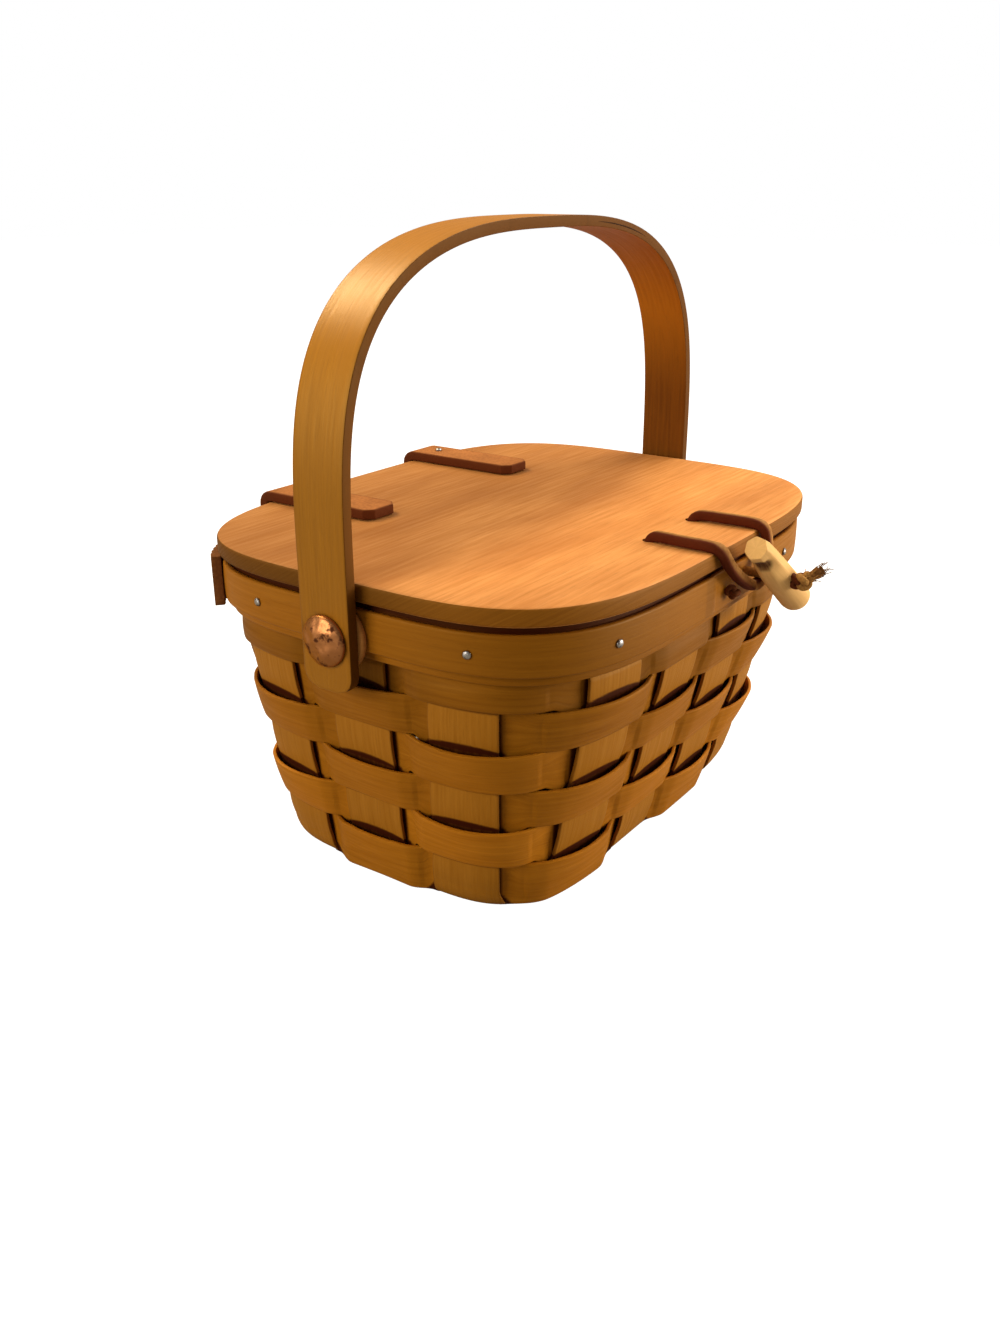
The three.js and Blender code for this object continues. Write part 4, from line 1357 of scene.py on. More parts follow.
@dataclass
class Rim:
    """The three bands, their tacks and the leather tab at the back left corner."""

    # The walls in the order of the tacks' nodes, and where the tacks are along each
    TACK_WALLS = (
        (Run.X, -1, (34.5, -43.5)), (Run.Y, -1, (-62.5, 46.5)),
        (Run.X, 1, (-36.0, 43.5)), (Run.Y, 1, (62.0, -62.0)),
    )
    # How far the grain is shifted, along and across, from one band to the next
    GRAIN_SHIFT = (711.0, 29.0)
    # A distance from the seam at which nothing of it shows
    NO_SEAM = 99.0
    # Darkening along the lower edges and at the seam, painted shade above the trim in the recess under the
    # lid, and stain around the tacks
    EDGE_STAIN = 0.3
    SEAM_STAIN = 0.45
    TOP_STAIN = 0.9
    TACK_STAIN = 0.8
    FADE = 0.7

    form: WallForm
    tacks: Tacks
    band_bottom: float = 84.3
    trim_bottom: float = 87.5
    trim_top: float = 100.5
    seam_x: float = -10.5
    seam_width: float = 6.7
    lap_length: float = 14.0
    lap_lift: float = 0.35
    crown: float = 0.2
    # The bearing, in degrees, of the painted shade on the bands at the front left corner, under the lid's
    # overhang
    dark_bearing: float = 222.0
    tab_bearing: float = 141.0
    tab_width: float = 16.0
    tab_thickness: float = 3.6
    tab_bottom: float = 83.5
    tab_step: float = 1.44
    tab_top: float = 101.8
    rib_depth: float = 0.22
    rib_pitch: float = 2.6

    @property
    def tack_height(self) -> float:
        """The height of the middle of the trim."""
        return (self.trim_bottom + self.trim_top) / 2

    def tack_places(self) -> list[Matrix]:
        """Where the trim is nailed, in the order of the nodes.

        Returns:
            The seat of each tack, in millimetres.
        """
        return [
            self.form.rim_place(run, side, lateral, self.tack_height, self.form.trim_outer + CLEARANCE)
            for run, side, laterals in self.TACK_WALLS
            for lateral in laterals
        ]

    def band(
        self, name: str, inner: float, outer: float, bottom: float, top: float, edge: float, number: int
    ) -> Piece:
        """One band around the rim.

        Args:
            name: The new piece's name.
            inner: The offset of its inner face.
            outer: The offset of its outer face.
            bottom: Its lower edge.
            top: Its upper edge.
            edge: How far its edges are rounded.
            number: Shifts its grain.

        Returns:
            The new piece.
        """
        outline = self.form.rim
        places = np.linspace(0.0, outline.table()[1][-1], 481)
        bearings = outline.bearing_at(places)
        shares = np.linspace(0.0, 1.0, 15)
        depth = top - bottom
        trim = name == "rim_trim"
        marks = self.tack_places() if trim else []
        crown = self.crown if trim else 0.0
        seam = np.full(len(places), self.NO_SEAM)
        if trim:
            seam_bearing = math.atan2(-outline.reach(Run.Y, self.seam_x), self.seam_x)
            seam = places - outline.length_to(seam_bearing)
        lap = self.lap_lift * np.where(seam < 0, smooth(1 + seam / self.lap_length), 0.0)
        overlap = smooth((seam + self.seam_width) / 0.8) * smooth(-seam / 0.8)
        lines, wears = [], []
        for share in shares:
            height = bottom + depth * share
            out = (inner + outer) / 2 + lap + crown * (1 - (2 * share - 1) ** 2)
            line = lifted(outline.at(bearings, out), height)
            low = self.EDGE_STAIN * float(bell(share * depth, self.FADE))
            wear = np.maximum(low, self.SEAM_STAIN * bell(seam, 0.6))
            if not trim:
                # Painted shade in the recess under the lid
                wear = np.maximum(wear, self.TOP_STAIN * float(smooth(height - self.trim_top + 1.2)))
            for mark in marks:
                away = np.linalg.norm(line - np.array(mark.translation), axis=1)
                wear = np.maximum(wear, self.TACK_STAIN * bell(away - self.tacks.radius, self.FADE))
            lines.append(line)
            wears.append(wear)
        # Painted light: the bands darker at the front left corner, painted shade under the lid's overhang,
        # and darker over the trim's lap
        tones = 0.15 - 0.35 * bell(bearings - math.radians(self.dark_bearing), 0.45) - 0.25 * overlap
        along, across = self.GRAIN_SHIFT
        strip = pairs(places + along * number, shares * depth + across * number)
        wear = np.stack([np.array(wears), np.tile(tones, (len(shares), 1))], -1)
        piece = Bench.lay(name, np.array(lines), strip, wear, merge=True)
        return Bench.thicken(piece, outer - inner, edge, 3)

    def build_tab(self) -> Piece:
        """The leather tab, with faint ribs down its face.

        Returns:
            The new piece.
        """
        outline = self.form.rim
        start = outline.length_to(math.radians(self.tab_bearing))
        places = np.linspace(-0.5, 0.5, 41) * self.tab_width
        bearings = outline.bearing_at(start + places)
        ribs = self.rib_depth * np.cos(places * 2 * math.pi / self.rib_pitch)
        middle = self.form.trim_outer + CLEARANCE + self.tab_thickness / 2
        flat = outline.at(bearings, middle + ribs)
        bottom = self.tab_bottom + self.tab_step * smooth((places + 1.0) / 1.5)
        # Painted shade down one end of the tab
        dark_end = 0.8 * bell(places + self.tab_width / 2, 1.2)
        lines, wears = [], []
        for share in np.linspace(0.0, 1.0, 21):
            lines.append(lifted(flat, bottom + (self.tab_top - bottom) * share))
            wears.append(np.maximum(dark_end, self.EDGE_STAIN * bell(share * 18.0, 1.0)))
        piece = Bench.lay("rim_corner_tab", np.array(lines), None, stained(np.array(wears)))
        return Bench.thicken(piece, self.tab_thickness - 0.5, 0.5, 3)

    def build(self) -> None:
        """Clamps the rim."""
        form = self.form
        trim_inner = form.band_outer + CLEARANCE
        bands = [
            ("rim_inner", "inner_band", -form.band_outer, -form.band_inner, self.band_bottom, form.top, 0.5),
            ("rim_outer", "outer_band", form.band_inner, form.band_outer, self.band_bottom, form.top, 0.5),
            ("rim_trim", "trim_band", trim_inner, form.trim_outer, self.trim_bottom, self.trim_top, 0.7),
        ]
        for number, (name, node, *sizes) in enumerate(bands):
            dress(self.band(name, *sizes, number), RIM_WOOD, "rim_wood", "basket", node)
        length = CLEARANCE + form.trim_outer - form.band_inner
        for number, place in enumerate(self.tack_places()):
            tack = self.tacks.build(f"trim_tack_{number + 1}", place, length)
            dress(tack, NICKEL, "nickel", "basket", f"rim_tack_{number + 1}")
        dress(self.build_tab(), TAB_LEATHER, "strap_leather", "basket", "corner_tab")
        seat = form.trim_outer + 2 * CLEARANCE + self.tab_thickness
        place = form.rim_at(math.radians(self.tab_bearing), self.tack_height, seat)
        tack = self.tacks.build("tab_tack", place, length + CLEARANCE + self.tab_thickness)
        dress(tack, NICKEL, "nickel", "basket", "corner_tab_tack")


@dataclass
class Handle:
    """The bentwood handle with its rivets, burrs and spacer discs."""

    # The slots of the two darker woods, and how far a face must turn to have one
    INSIDE, NARROW = 1, 2
    INWARD, SIDEWAYS = 0.45, 0.6
    # Darkening along the edges, and painted shade around the rivets: how dark and how wide
    EDGE_STAIN, EDGE_FADE = 0.48, 0.7
    RIVET_STAIN, RIVET_FADE = 0.5, 1.1
    # Inside the arch: how dark the tails are and their tone, and the tone of the top; outside: the painted
    # highlight towards the top
    TAIL_STAIN, TAIL_TONE = 0.7, 0.6
    INSIDE_TONE, TOP_TONE = 0.3, 0.5
    # The part of the arch, along X, that has the drying check
    CHECK = (27.0, 63.0)
    # The hammer's blows on a rivet: how many, how wide and how deep
    BLOWS, BLOW_RADIUS, BLOW_DEPTH = 26, 2.3, 0.38

    width: float = 19.0
    thickness: float = 3.6
    span: float = 103.5
    square_across: float = 2.9
    square_up: float = 3.38
    arch_start: float = 112.0
    top: float = 205.7
    tail: float = 75.0
    corner: float = 6.0
    pivot: float = 91.2
    light_from: float = 130.0
    light_over: float = 65.0
    spacer_inner: float = 99.1
    spacer_thickness: float = 2.3
    spacer_radius: float = 11.0
    spacer_edge: float = 0.5
    rivet_seat: float = 105.6
    rivet_radius: float = 8.0
    rivet_edge: float = 0.7
    rivet_height: float = 3.2
    shank: float = 2.5
    shank_length: float = 19.9

    def path(self) -> np.ndarray:
        """The strip's middle line, from the left tail over the top to the right one.

        Returns:
            One point a row.
        """
        rise = self.top - self.thickness / 2 - self.arch_start
        angles = np.linspace(math.pi, 0.0, 1201)
        cos, sin = np.cos(angles), np.maximum(np.sin(angles), 0.0)
        x = np.sign(cos) * np.abs(cos) ** (2.0 / self.square_across) * self.span
        z = self.arch_start + sin ** (2.0 / self.square_up) * rise
        arch = np.column_stack([x, 0.0 * x, z])
        left, right = ([[side * self.span, 0.0, self.tail]] for side in (-1, 1))
        return even(np.concatenate([left, arch, right]), 1.5)

    def build_strip(self) -> Piece:
        """The bent strip with its rounded tails.

        Returns:
            The new piece.
        """
        path = self.path()
        along = run_lengths(path)
        from_end = np.minimum(along, along[-1] - along)
        inside = np.clip(self.corner - from_end, 0.0, self.corner)
        half = self.width / 2 - self.corner + np.sqrt(self.corner**2 - inside**2)
        shares = np.linspace(-1.0, 1.0, 13)
        points = np.repeat(path[None], len(shares), 0)
        points[..., 1] = shares[:, None] * half
        edge = self.EDGE_STAIN * bell((1 - np.abs(shares)) * self.width / 2, self.EDGE_FADE)[:, None]
        around = np.hypot(points[..., 1], points[..., 2] - self.pivot) - self.rivet_radius
        # Painted shade in a ring around each rivet's head, with darker edges
        stain = np.maximum(edge, self.RIVET_STAIN * bell(around, self.RIVET_FADE))
        piece = Bench.lay("bent_handle", points, pairs(along, shares * self.width / 2), stained(stain))
        return Bench.thicken(piece, self.thickness, 0.75, 3)

    def line_inside(self, piece: Piece) -> None:
        """Gives the faces that look into the arch, and the two narrow sides, their darker wood, and paints a
        highlight on the outside towards the top.

        Args:
            piece: The bent strip.
        """
        for wood in (HANDLE_INSIDE_WOOD, HANDLE_SIDE_WOOD):
            piece.data.materials.append(wood.material())
        wear = piece.data.uv_layers[WEAR_MAP].data
        middle = Vector((0.0, 0.0, self.arch_start * MM))
        for face in piece.data.polygons:
            if abs(face.normal.y) > self.SIDEWAYS:
                face.material_index = self.NARROW
                continue
            inward = middle - face.center
            inward.y = 0.0
            if face.center.z < middle.z:
                inward.z = 0.0
            looks_in = face.normal.dot(inward.normalized()) > self.INWARD
            face.material_index = self.INSIDE if looks_in else 0
            for corner in face.loop_indices:
                height = piece.data.vertices[piece.data.loops[corner].vertex_index].co.z / MM
                low = 1.0 - float(smooth((height - self.light_from) / self.light_over))
                if looks_in:
                    tone = self.INSIDE_TONE + (self.TAIL_TONE - self.INSIDE_TONE) * low
                    wear[corner].uv = (self.TAIL_STAIN * low, tone)
                else:
                    # A painted highlight on the outside towards the top of the arch
                    wear[corner].uv.y = self.TOP_TONE * (1.0 - low)

    def build_crack(self) -> Piece:
        """A thin dark sliver for a check in the front edge of the arch, right of its top: painted shade in
        the crack.

        Returns:
            The new piece.
        """
        route = self.path()
        start, stop = self.CHECK
        route = route[(route[:, 0] > start) & (route[:, 0] < stop) & (route[:, 2] > self.arch_start)]
        route = even(route, 1.0) + np.array([0.0, -self.width / 2 + 0.02, -0.1])
        ends = np.sin(np.linspace(0.0, math.pi, len(route))) ** 0.5 * 0.9 + 0.1
        section = np.column_stack([[0.0, -0.3, 0.0, 0.3], [-0.09, 0.0, 0.09, 0.0]])
        sides = np.tile([0.0, 0.0, 1.0], (len(route), 1))
        return Bench.sweep("handle_check", route, sides, section, ends)

    def build_rivet(self, side: Side) -> Piece:
        """A rivet with a hammered head.

        Args:
            side: Its end of the basket.

        Returns:
            The new piece.
        """
        back = [(0.0, -self.shank_length), (self.shank, -self.shank_length), (self.shank, 0.0)]
        head = [(self.rivet_radius, 0.0)] + dome(self.rivet_radius, self.rivet_edge, self.rivet_height, 13)
        piece = Bench.turn(f"hammered_rivet_{side.label}", back + head, 48)
        dice = np.random.default_rng(11 + side.value)
        spots = dice.uniform(-1.0, 1.0, (self.BLOWS, 2)) * self.rivet_radius
        for vertex in piece.data.vertices:
            x, y, z = (value / MM for value in vertex.co)
            if z > 0.5:
                away = np.hypot(spots[:, 0] - x, spots[:, 1] - y) / self.BLOW_RADIUS
                vertex.co.z -= float(np.max(self.BLOW_DEPTH * np.clip(1 - away**2, 0.0, 1.0))) * MM
        place = facing((side.value * self.rivet_seat, 0.0, self.pivot), (side.value, 0.0, 0.0))
        Bench.move(piece, place)
        return Bench.soften(piece, 50)

    def build_spacer(self, side: Side) -> Piece:
        """The wooden disc between the handle and the rim.

        Args:
            side: Its end of the basket.

        Returns:
            The new piece.
        """
        depth, radius, bore = self.spacer_thickness, self.spacer_radius, self.shank + CLEARANCE
        edge = self.spacer_edge
        profile = [
            (bore, 0.0), (radius - edge, 0.0), (radius, edge), (radius, depth - edge), (radius - edge, depth),
            (bore, depth), (bore, 0.0),
        ]
        place = facing((side.value * self.spacer_inner, 0.0, self.pivot), (side.value, 0.0, 0.0))
        return Bench.soften(Bench.turn(f"spacer_disc_{side.label}", profile, 56, place), 50)

    def build(self) -> None:
        """Bends and hangs the handle."""
        self.line_inside(dress(self.build_strip(), HANDLE_WOOD, "handle_wood", "handle", "handle"))
        dress(self.build_crack(), CRACK_WOOD, "handle_wood", "handle")
        for side in Side:
            dress(self.build_rivet(side), COPPER, "copper", "basket", f"rivet_{side.label}")
            dress(self.build_spacer(side), SPACER_WOOD, "rim_wood", "basket", f"spacer_{side.label}")
            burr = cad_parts[f"rivet_burr_{side.label}"]
            burr.data.materials.clear()
            burr.data.materials.append(COPPER.material())


@dataclass
class Lid:
    """The board and its two leather hinges."""

    # The rings of the board's flat faces, as shares of its outline
    RINGS = (0.0, 0.2, 0.4, 0.6, 0.8, 0.94)
    # The slot of the wood of the edges, and the upward turn below which a face belongs to them
    EDGE_SLOT = 1
    UPRIGHT = 0.6
    # How far the dark of the straps' cut edges reaches
    CUT_FADE = 0.55
    # The board's painted light: its tone at the front, what it gains to the right and what it loses to the
    # back
    FRONT_TONE, RIGHT_TONE, BACK_TONE = 0.15, 0.08, 0.52
    # How much faster the grain changes down the edges than across the faces
    GRAIN_DOWN = 1.7

    form: WallForm
    tacks: Tacks
    bottom: float = 103.0
    thickness: float = 6.0
    offset: float = 7.6
    edge: float = 1.2
    hole_radius: float = 2.4
    hole_depth: float = 9.0
    holes: tuple[tuple[float, float], ...] = ((-13.0, -56.7), (17.0, -56.7))
    strap_centre: float = 40.75
    strap_width: float = 15.5
    strap_thickness: float = 3.5
    strap_reach: float = 49.0
    strap_drop: float = 29.0
    strap_chamfer: float = 3.0
    tack_inset: float = 9.0
    tack_depth: float = 4.0
    rim_tack_height: float = 94.0

    @property
    def top(self) -> float:
        """The height of the board's top."""
        return self.bottom + self.thickness

    @property
    def back(self) -> float:
        """How far the rim reaches to the back where the straps hang."""
        return self.form.rim.reach(Run.Y, self.strap_centre - self.strap_width / 2)

    def build_board(self) -> Piece:
        """The board, with rounded edges and two lace holes.

        Returns:
            The new piece.
        """
        outline = self.form.rim
        bearings = outline.bearing_at(np.linspace(0.0, outline.table()[1][-1], 361))
        inner = outline.at(bearings, self.offset - self.edge)
        lines = [lifted(inner * ring, self.bottom) for ring in self.RINGS]
        for level, start in ((self.bottom + self.edge, -90.0), (self.top - self.edge, 0.0)):
            for angle in np.radians(np.linspace(start, start + 90.0, 5)):
                out = self.offset - self.edge + self.edge * math.cos(angle)
                lines.append(lifted(outline.at(bearings, out), level + self.edge * math.sin(angle)))
        lines += [lifted(inner * ring, self.top) for ring in self.RINGS[::-1]]
        points = np.array(lines)
        x, y, z = np.moveaxis(points, -1, 0)
        # Painted light: lighter to the front and the right, darker to the back
        tone = self.FRONT_TONE + self.RIGHT_TONE * smooth((x - 10.0) / 80.0)
        tone = tone - self.BACK_TONE * smooth((y + 48.0) / 46.0)
        wear = np.stack([0.0 * tone, tone], -1)
        strip = np.stack([x, y + self.GRAIN_DOWN * z], -1)
        piece = Bench.lay("lid_board", points, strip, wear, merge=True)
        for hole in self.holes:
            place = Matrix.Translation((*hole, (self.bottom + self.top) / 2))
            Bench.drill(piece, self.hole_radius, self.hole_depth, 32, place)
        return Bench.soften(piece, 35)

    def strap_path(self) -> np.ndarray:
        """The strap's middle line: y and z from its end on the lid to its end on the trim.

        Returns:
            One pair a row.
        """
        half = self.strap_thickness / 2
        top = self.top + CLEARANCE + half
        edge = self.back + self.offset + CLEARANCE + half
        wall = self.back + self.form.trim_outer + CLEARANCE + half
        turn = half + CLEARANCE + self.edge
        front = self.back + self.offset - self.strap_reach
        angles = np.linspace(0.0, math.pi / 2, 9)
        bend = np.column_stack([edge - turn + turn * np.sin(angles), top - turn + turn * np.cos(angles)])
        corners = np.concatenate([
            [[front, top], [edge - turn - 6.0, top]], bend,
            [[edge, self.bottom], [wall, self.bottom - 5.0], [wall, self.top - self.strap_drop]],
        ])
        return even(chaikin(corners, 2), 1.0)

    def build_strap(self, side: Side) -> Piece:
        """One hinge strap, with dark cut edges and chamfered ends.

        Args:
            side: Its end of the lid.

        Returns:
            The new piece.
        """
        path = self.strap_path()
        along = run_lengths(path)
        from_end = np.minimum(along, along[-1] - along)
        half = self.strap_width / 2 - np.clip(self.strap_chamfer - from_end, 0.0, self.strap_chamfer)
        shares = np.linspace(1.0, -1.0, 13)
        points = np.zeros((len(shares), len(path), 3))
        points[..., 0] = side.value * self.strap_centre + shares[:, None] * half
        points[..., 1:] = path[None]
        from_side = (1 - np.abs(shares))[:, None] * half
        cut = stained(bell(np.minimum(from_side, from_end), self.CUT_FADE))
        strip = pairs(along, shares * self.strap_width / 2)
        piece = Bench.lay(f"hinge_leather_{side.label}", points, strip, cut)
        return Bench.thicken(piece, self.strap_thickness, 0.55, 3)

    def build(self) -> None:
        """Hangs the lid."""
        board = dress(self.build_board(), LID_WOOD, "lid_wood", "lid", "lid")
        board.data.materials.append(LID_EDGE_WOOD.material())
        for face in board.data.polygons:
            if abs(face.normal.z) < self.UPRIGHT:
                face.material_index = self.EDGE_SLOT
        seat = CLEARANCE + self.strap_thickness
        lid_y = self.back + self.offset - self.tack_inset
        rim_y = self.back + self.form.trim_outer + seat + CLEARANCE
        hinge_y = self.back + self.offset + 2.0
        rim_length = seat + self.form.trim_outer - self.form.band_inner
        for side in Side:
            strap = self.build_strap(side)
            dress(strap, STRAP_LEATHER, "strap_leather", None, f"hinge_strap_{side.label}")
            x = side.value * self.strap_centre
            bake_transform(strap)
            place = facing((x, lid_y, self.top + seat + CLEARANCE), (0, 0, 1))
            tack = self.tacks.build(f"strap_tack_top_{side.label}", place, seat + CLEARANCE + self.tack_depth)
            dress(tack, NICKEL, "nickel", "lid", f"strap_tack_lid_{side.label}")
            place = facing((x, rim_y, self.rim_tack_height), (0, 1, 0))
            tack = self.tacks.build(f"strap_tack_back_{side.label}", place, rim_length)
            dress(tack, NICKEL, "nickel", "basket", f"strap_tack_rim_{side.label}")


@dataclass
class Closure:
    """The lace loop, the carved peg and the thong that holds it."""

    trim_face: float = 79.2
    wall_top: float = 102.7
    lace_width: float = 3.6
    lace_thickness: float = 3.3
    thong_radius: float = 1.6
    hole_room: float = 0.6
    hole_depth: float = 16.0
    peg_radius: float = 5.3
    flats: int = 7
    notch_share: float = 0.82
    notch_length: float = 3.6
    notch_depth: float = 0.42
    slant: float = 0.2
    slant_from: float = 0.9
    fibres: int = 64
    fibre_radius: float = 0.13

    # Corners of the routes, as near() takes them
    LACE = (
        (-13, -22.5, -4.2), (-13, -22.5, 1.3), (-13, -22.5, 5.7), (-13.2, -21.2, 8), (-13.8, -18, 8.4),
        (-14.4, -9, 8.3), (-14, -0.6, 8.3), (-12.6, 2.7, 7), (-10.5, 3.8, 3), (-6, 4.4, -1.6),
        (0, 4.8, -5.6), (5, 5, -8.4), (8.6, 5, -9.6), (11.8, 5, -9.9), (15, 5, -9),
        (17.6, 5, -6), (19.2, 4.6, -1.4), (20, 3.8, 3.3), (19.8, 2.7, 7), (19, -0.6, 8.3),
        (18.6, -9, 8.3), (17.8, -18, 8.4), (17.2, -21.2, 8), (17, -22.5, 5.7), (17, -22.5, 1.3),
        (17, -22.5, -4.2),
    )
    THONG = (
        (11.8, -13.5, -6.2), (11.8, -7, -6.2), (11.8, 0, -6.2), (11.8, 6, -6.2), (11.8, 12.4, -6.2),
        (11.8, 17.4, -6.2), (12, 20.6, -5.9), (14, 22.8, -4.4), (16.4, 24.8, -2.8),
    )
    STITCH = (-1.9, 2.4, -9.5)
    # Where the lace comes up through the lid and where it starts to hang: the place and over how far
    RISING = (-22.5, 3.0)
    HANGING = (-1.5, 4.5)
    # The knots: size, radius of the cord, turn, axis of the turn and stain
    KNOTS = {
        "lace_knot_1": (4.0, 1.5, 0.6, "X", 0.9),
        "lace_knot_2": (4.0, 1.5, 1.6, "X", 0.9),
        "thong_knot_inner": (3.2, 1.2, 1.2, "X", 0.0),
        "thong_knot_outer": (3.6, 1.15, 1.3, "X", 0.0),
        "thong_knot_root": (3.3, 0.9, 1.6, "X", 0.95),
        "trim_stitch": (2.9, 1.0, 0.9, "Y", 0.9),
    }
    # The thong's corners that are in the peg's hole and at the outer knot
    HOLE = 4
    TIED = 6
    PEG_TOP = (-5, 10.5, 7.3)
    PEG_FOOT = (23, 13.6, -15.2)
    # The peg's radii, as shares of its foot's, at shares of its length
    PEG_LEVELS = (0.0, 0.3, 0.75, 0.93, 1.0)
    PEG_RADII = (1.0, 0.97, 0.9, 0.84, 0.72)
    # The direction that the notch looks in
    NOTCH_LOOK = (-0.87, -0.12, -0.25)

    def near(self, points: Sequence[Sequence[float]]) -> np.ndarray:
        """Places near the closure: along X, out from the trim's face, up from the wall's top."""
        x, out, up = np.array(points, float).T
        return np.column_stack([x, -self.trim_face - out, self.wall_top + up])

    @staticmethod
    def section(width: float, thickness: float, count: int = 16) -> np.ndarray:
        """A flat section with round edges, anticlockwise."""
        corners = circle(1.0, count)
        return np.sign(corners) * np.abs(corners) ** 0.45 * np.array([width, thickness]) / 2

    def build_lace(self) -> tuple[Piece, np.ndarray]:
        """The flat lace: over the lid's edge, round behind the peg, and back.

        Returns:
            The new piece and its route.
        """
        route = even(chaikin(self.near(self.LACE), 2), 0.7)
        out = -route[:, 1] - self.trim_face
        rising, hanging = (smooth((out - place) / over) for place, over in (self.RISING, self.HANGING))
        normals = np.column_stack([0.0 * out, 1.0 - rising - hanging, 0.15 + rising * (1.0 - hanging)])
        sides = np.cross(normals, np.gradient(route, axis=0))
        section = self.section(self.lace_width, self.lace_thickness)
        across, up = self.section(2.0, 2.0).T
        # Dark on the underside and on one side of each strand: partly the leather's cut edges, partly painted
        # shade away from the light
        hand = np.where(np.arange(len(route)) < len(route) / 2, 1.0, -1.0)[:, None]
        wear = 1.0 - smooth(0.3 + 1.3 * (hand * across + 0.8 * up - 0.5))
        return Bench.sweep("lace_loop", route, sides, section, None, wear), route

    def knot(self, name: str, centre: np.ndarray) -> Piece:
        """A simple tied knot.

        Args:
            name: The new piece's name, by which its sizes are listed.
            centre: Its middle.

        Returns:
            The new piece.
        """
        size, cord, turn, axis, worn = self.KNOTS[name]
        angles = np.linspace(0.0, 2 * math.pi, 121)
        loop = np.column_stack([
            np.sin(angles) + 2 * np.sin(2 * angles),
            np.cos(angles) - 2 * np.cos(2 * angles),
            -1.5 * np.sin(3 * angles),
        ]) * (size - cord) / 3.2
        route = loop @ np.array(Matrix.Rotation(turn, 3, axis)).T + centre
        sides = np.cross(np.gradient(route, axis=0), route - centre)
        section = circle(cord, 10)
        return Bench.sweep(name, route, sides, section, None, np.full((len(route), len(section)), worn))

    def build_peg(self) -> Piece:
        """The carved peg: whittled flats, a slanted top, a notch and a round foot.

        Returns:
            The new piece.
        """
        top, foot = self.near([self.PEG_TOP, self.PEG_FOOT])
        length = float(np.linalg.norm(top - foot))
        heel = circle(self.peg_radius, 20)[15:20].tolist()
        heel[0] = (0.0, -self.peg_radius)
        levels = np.linspace(0.0, 1.0, 29)
        radii = np.interp(levels, self.PEG_LEVELS, self.PEG_RADII)
        body = [(self.peg_radius * radius, length * level) for radius, level in zip(radii, levels)]
        piece = Bench.turn("carved_peg", heel + body + [(0.0, length)], 56)
        place = facing(foot, top - foot)
        view = np.array(place.to_3x3()).T @ np.array(self.NOTCH_LOOK)
        notch = math.atan2(view[1], view[0])
        flats = notch + np.arange(self.flats) * 2 * math.pi / self.flats
        wear = np.zeros((len(piece.data.vertices), 2))
        for vertex in piece.data.vertices:
            x, y, z = (value / MM for value in vertex.co)
            radius, angle = math.hypot(x, y), math.atan2(y, x)
            share = z / length
            if radius > 1e-3 and share > 0.0:
                turned = np.abs((angle - flats + math.pi) % (2 * math.pi) - math.pi).min()
                carved = math.cos(math.pi / self.flats) / math.cos(turned) - 1.0
                squeeze = 1.0 + carved * float(smooth((share - 0.45) / 0.3)) * 0.9
                cut = float(bell((share - self.notch_share) * length, self.notch_length))
                cut *= max(math.cos(angle - notch), 0.0)
                vertex.co.x *= squeeze - self.notch_depth * cut
                vertex.co.y *= squeeze - self.notch_depth * cut
                # Painted shade in the notch under the slanted top
                wear[vertex.index, 0] = 0.8 * min(2.4 * cut**2, 1.0)
            if share > self.slant_from:
                slope = self.slant * (share - self.slant_from) / (1.0 - self.slant_from)
                vertex.co.z -= slope * (x * math.cos(notch) + y * math.sin(notch)) * MM
        Bench.chart(piece.data, WEAR_MAP, wear)
        Bench.move(piece, place)
        hole = facing(self.near(self.THONG)[self.HOLE], (0, 1, 0))
        Bench.drill(piece, self.thong_radius + self.hole_room, self.hole_depth, 28, hole)
        return Bench.soften(piece, 32)

    def build_thong(self) -> tuple[Piece, np.ndarray]:
        """The thong: pale up to the peg, with a dark frayed tail.

        Returns:
            The new piece and its route.
        """
        route = even(chaikin(self.near(self.THONG), 2), 0.6)
        along = run_lengths(route)
        section = circle(self.thong_radius, 12)
        sides = np.tile([0.0, 0.0, 1.0], (len(route), 1))
        dice = np.random.default_rng(3)
        fray = smooth((along - along[-1] + 6.0) / 4.0)
        scale = 1.0 + fray * (0.12 * np.sin(along * 2.3) + 0.3 * dice.uniform(-0.4, 0.5, len(along)))
        wear = np.tile(0.8 * fray[:, None], (1, len(section)))
        return Bench.sweep("peg_thong", route, sides, section, scale, wear), route

    def build_fibres(self) -> Piece:
        """Loose fibres around the outer knot and the tail.

        Returns:
            The new piece.
        """
        dice = np.random.default_rng(8)
        first, *_, last = self.near(self.THONG)[self.TIED:]
        drift = (last - first) / np.linalg.norm(last - first)
        steps = np.linspace(0.0, 1.0, 6)[:, None]
        section = circle(self.fibre_radius, 4)
        strands = []
        for number in range(self.fibres):
            share = dice.uniform(0.0, 1.0)
            away = dice.normal(size=3)
            away /= np.linalg.norm(away)
            start = first + (last - first) * share + away * (2.4 - 1.2 * share)
            reach = dice.uniform(0.8, 2.2)
            route = start + steps * reach * (0.5 * away + drift) + steps**2 * dice.normal(size=3) * 0.6
            sides = np.tile(np.cross(drift, away) + 0.01, (len(route), 1))
            wear = np.full((len(route), len(section)), 0.7 if share > 0.35 else 0.1)
            strands.append(Bench.sweep(f"fibre_{number}", route, sides, section, None, wear))
        Bench.clear()
        for strand in strands:
            strand.select_set(True)
        bpy.context.view_layer.objects.active = strands[0]
        bpy.ops.object.join()
        strands[0].name = "thong_fibres"
        return strands[0]

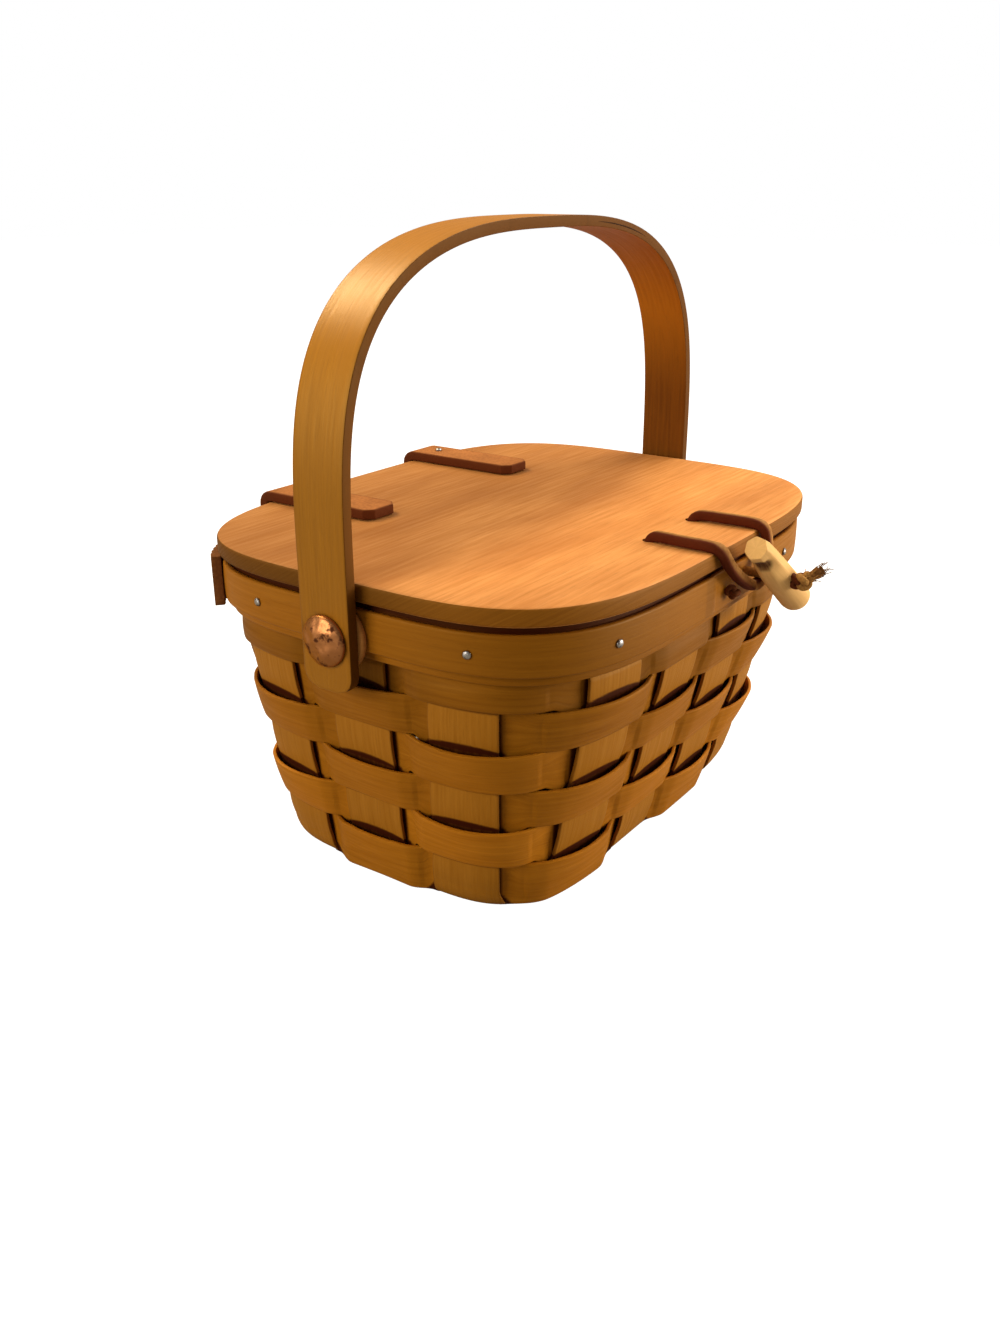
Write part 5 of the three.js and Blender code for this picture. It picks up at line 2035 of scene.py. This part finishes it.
    def build(self) -> None:
        """Ties the closure."""
        lace, lace_route = self.build_lace()
        dress(lace, LACE_LEATHER, "lace_leather", "lid", "closure_loop")
        for name, end in (("lace_knot_1", lace_route[0]), ("lace_knot_2", lace_route[-1])):
            dress(self.knot(name, end), LACE_LEATHER, "lace_leather", "lid")
        dress(self.build_peg(), PEG_WOOD, "peg_wood", "toggle", "toggle")
        thong, thong_route = self.build_thong()
        dress(thong, THONG_LEATHER, "lace_leather", "basket", "toggle_thong")
        places = self.near(self.THONG)
        inner = self.knot("thong_knot_inner", places[0])
        outer = self.knot("thong_knot_outer", places[self.TIED])
        root = self.knot("thong_knot_root", places[self.TIED - 1] + (0, -1.0, 0))
        fibres = self.build_fibres()
        stitch = self.knot("trim_stitch", self.near([self.STITCH])[0])
        for tied in (inner, outer, fibres):
            dress(tied, THONG_LEATHER, "lace_leather", "basket")
        for tied in (root, stitch):
            dress(tied, LACE_LEATHER, "lace_leather", "basket")


@dataclass(frozen=True)
class Lamp:
    """One soft light: its place, what it looks at, its size and its power."""

    name: str
    place: Point
    target: Point
    size: float
    power: float
    tint: Colour = (1.0, 1.0, 1.0)


@dataclass
class Studio:
    """The floor, the lights and the camera of the photograph's view."""

    azimuth: float = -54.69
    elevation: float = 22.372
    roll: float = -0.122
    place: Point = (-0.341103, -0.229941, 0.217298)
    lens: float = 32.12
    sensor: float = 36.0
    nearest: float = 0.01
    floor_size: float = 8.0
    lamps: tuple[Lamp, ...] = (
        Lamp("sky_panel", (-0.02, 0.75, 1.08), (0.0, 0.0, 0.12), 0.5, 13.5, (1.0, 0.88, 0.62)),
        Lamp("left_panel", (-1.15, 0.45, 0.5), (0.0, 0.0, 0.08), 0.7, 11.0, (1.0, 0.96, 0.9)),
        Lamp("front_panel", (0.75, -1.2, 0.22), (0.0, 0.0, 0.08), 0.7, 25.0, (1.0, 0.96, 0.9)),
        Lamp("right_panel", (0.75, -0.25, 0.95), (0.02, -0.03, 0.1), 0.6, 12.0, (1.0, 0.97, 0.92)),
    )
    ambient: float = 0.18

    def build_floor(self) -> None:
        """A wide pale floor."""
        Bench.clear()
        bpy.ops.mesh.primitive_grid_add(x_subdivisions=8, y_subdivisions=8, size=self.floor_size)
        floor = bpy.context.object
        floor.name = "studio_floor"
        Bench.move(floor, Matrix.Translation((0.0, 0.0, -CLEARANCE)))
        floor.data.materials.append(Plaster("studio_floor", 0.9, 0.0, gloss=0.0).material())

    def build_lamps(self) -> None:
        """The panels and the even light around them."""
        for lamp in self.lamps:
            bpy.ops.object.light_add(type="AREA", location=lamp.place)
            light = bpy.context.object
            light.name = lamp.name
            light.data.size = lamp.size
            light.data.energy = lamp.power
            light.data.color = lamp.tint
            aim = Vector(lamp.target) - Vector(lamp.place)
            light.rotation_euler = aim.to_track_quat("-Z", "Y").to_euler()
        world = bpy.context.scene.world or bpy.data.worlds.new("studio_world")
        bpy.context.scene.world = world
        world.use_nodes = True
        hand = Tree(world.node_tree)
        background = next(n for n in world.node_tree.nodes if n.type == "BACKGROUND")
        background.inputs["Color"].default_value = (1.0, 1.0, 1.0, 1.0)
        seen = hand.add("ShaderNodeLightPath").outputs["Is Camera Ray"]
        strength = hand.fit(seen, 0.0, 1.0, self.ambient, 1.0)
        world.node_tree.links.new(strength, background.inputs["Strength"])

    def build_camera(self) -> None:
        """The camera at the photograph's view."""
        azimuth, elevation, roll = (math.radians(v) for v in (self.azimuth, self.elevation, self.roll))
        level = math.cos(elevation)
        back = Vector((math.sin(azimuth) * level, -math.cos(azimuth) * level, math.sin(elevation)))
        right = Vector((math.cos(azimuth), math.sin(azimuth), 0.0))
        up = back.cross(right)
        rolled_right = math.cos(roll) * right + math.sin(roll) * up
        rolled_up = back.cross(rolled_right)
        turned = Matrix((rolled_right, rolled_up, back)).transposed().to_4x4()
        turned.translation = Vector(self.place)
        bpy.ops.object.camera_add()
        camera = bpy.context.object
        camera.name = "photo_camera"
        camera.matrix_world = turned
        camera.data.lens = self.lens
        camera.data.sensor_width = self.sensor
        camera.data.clip_start = self.nearest
        bpy.context.scene.camera = camera

    def build(self) -> None:
        """Sets up the studio."""
        self.build_camera()
        self.build_lamps()
        self.build_floor()
        bpy.context.scene.view_settings.view_transform = "Standard"


def main() -> None:
    """Builds the purse and its studio."""
    logging.basicConfig(level=logging.INFO, format="%(name)s %(message)s")
    form = WallForm()
    tacks = Tacks()
    Studio().build()
    Closure().build()
    WovenWall(form).build()
    Rim(form, tacks).build()
    Handle().build()
    Lid(form, tacks).build()


if __name__ == "__main__":
    main()
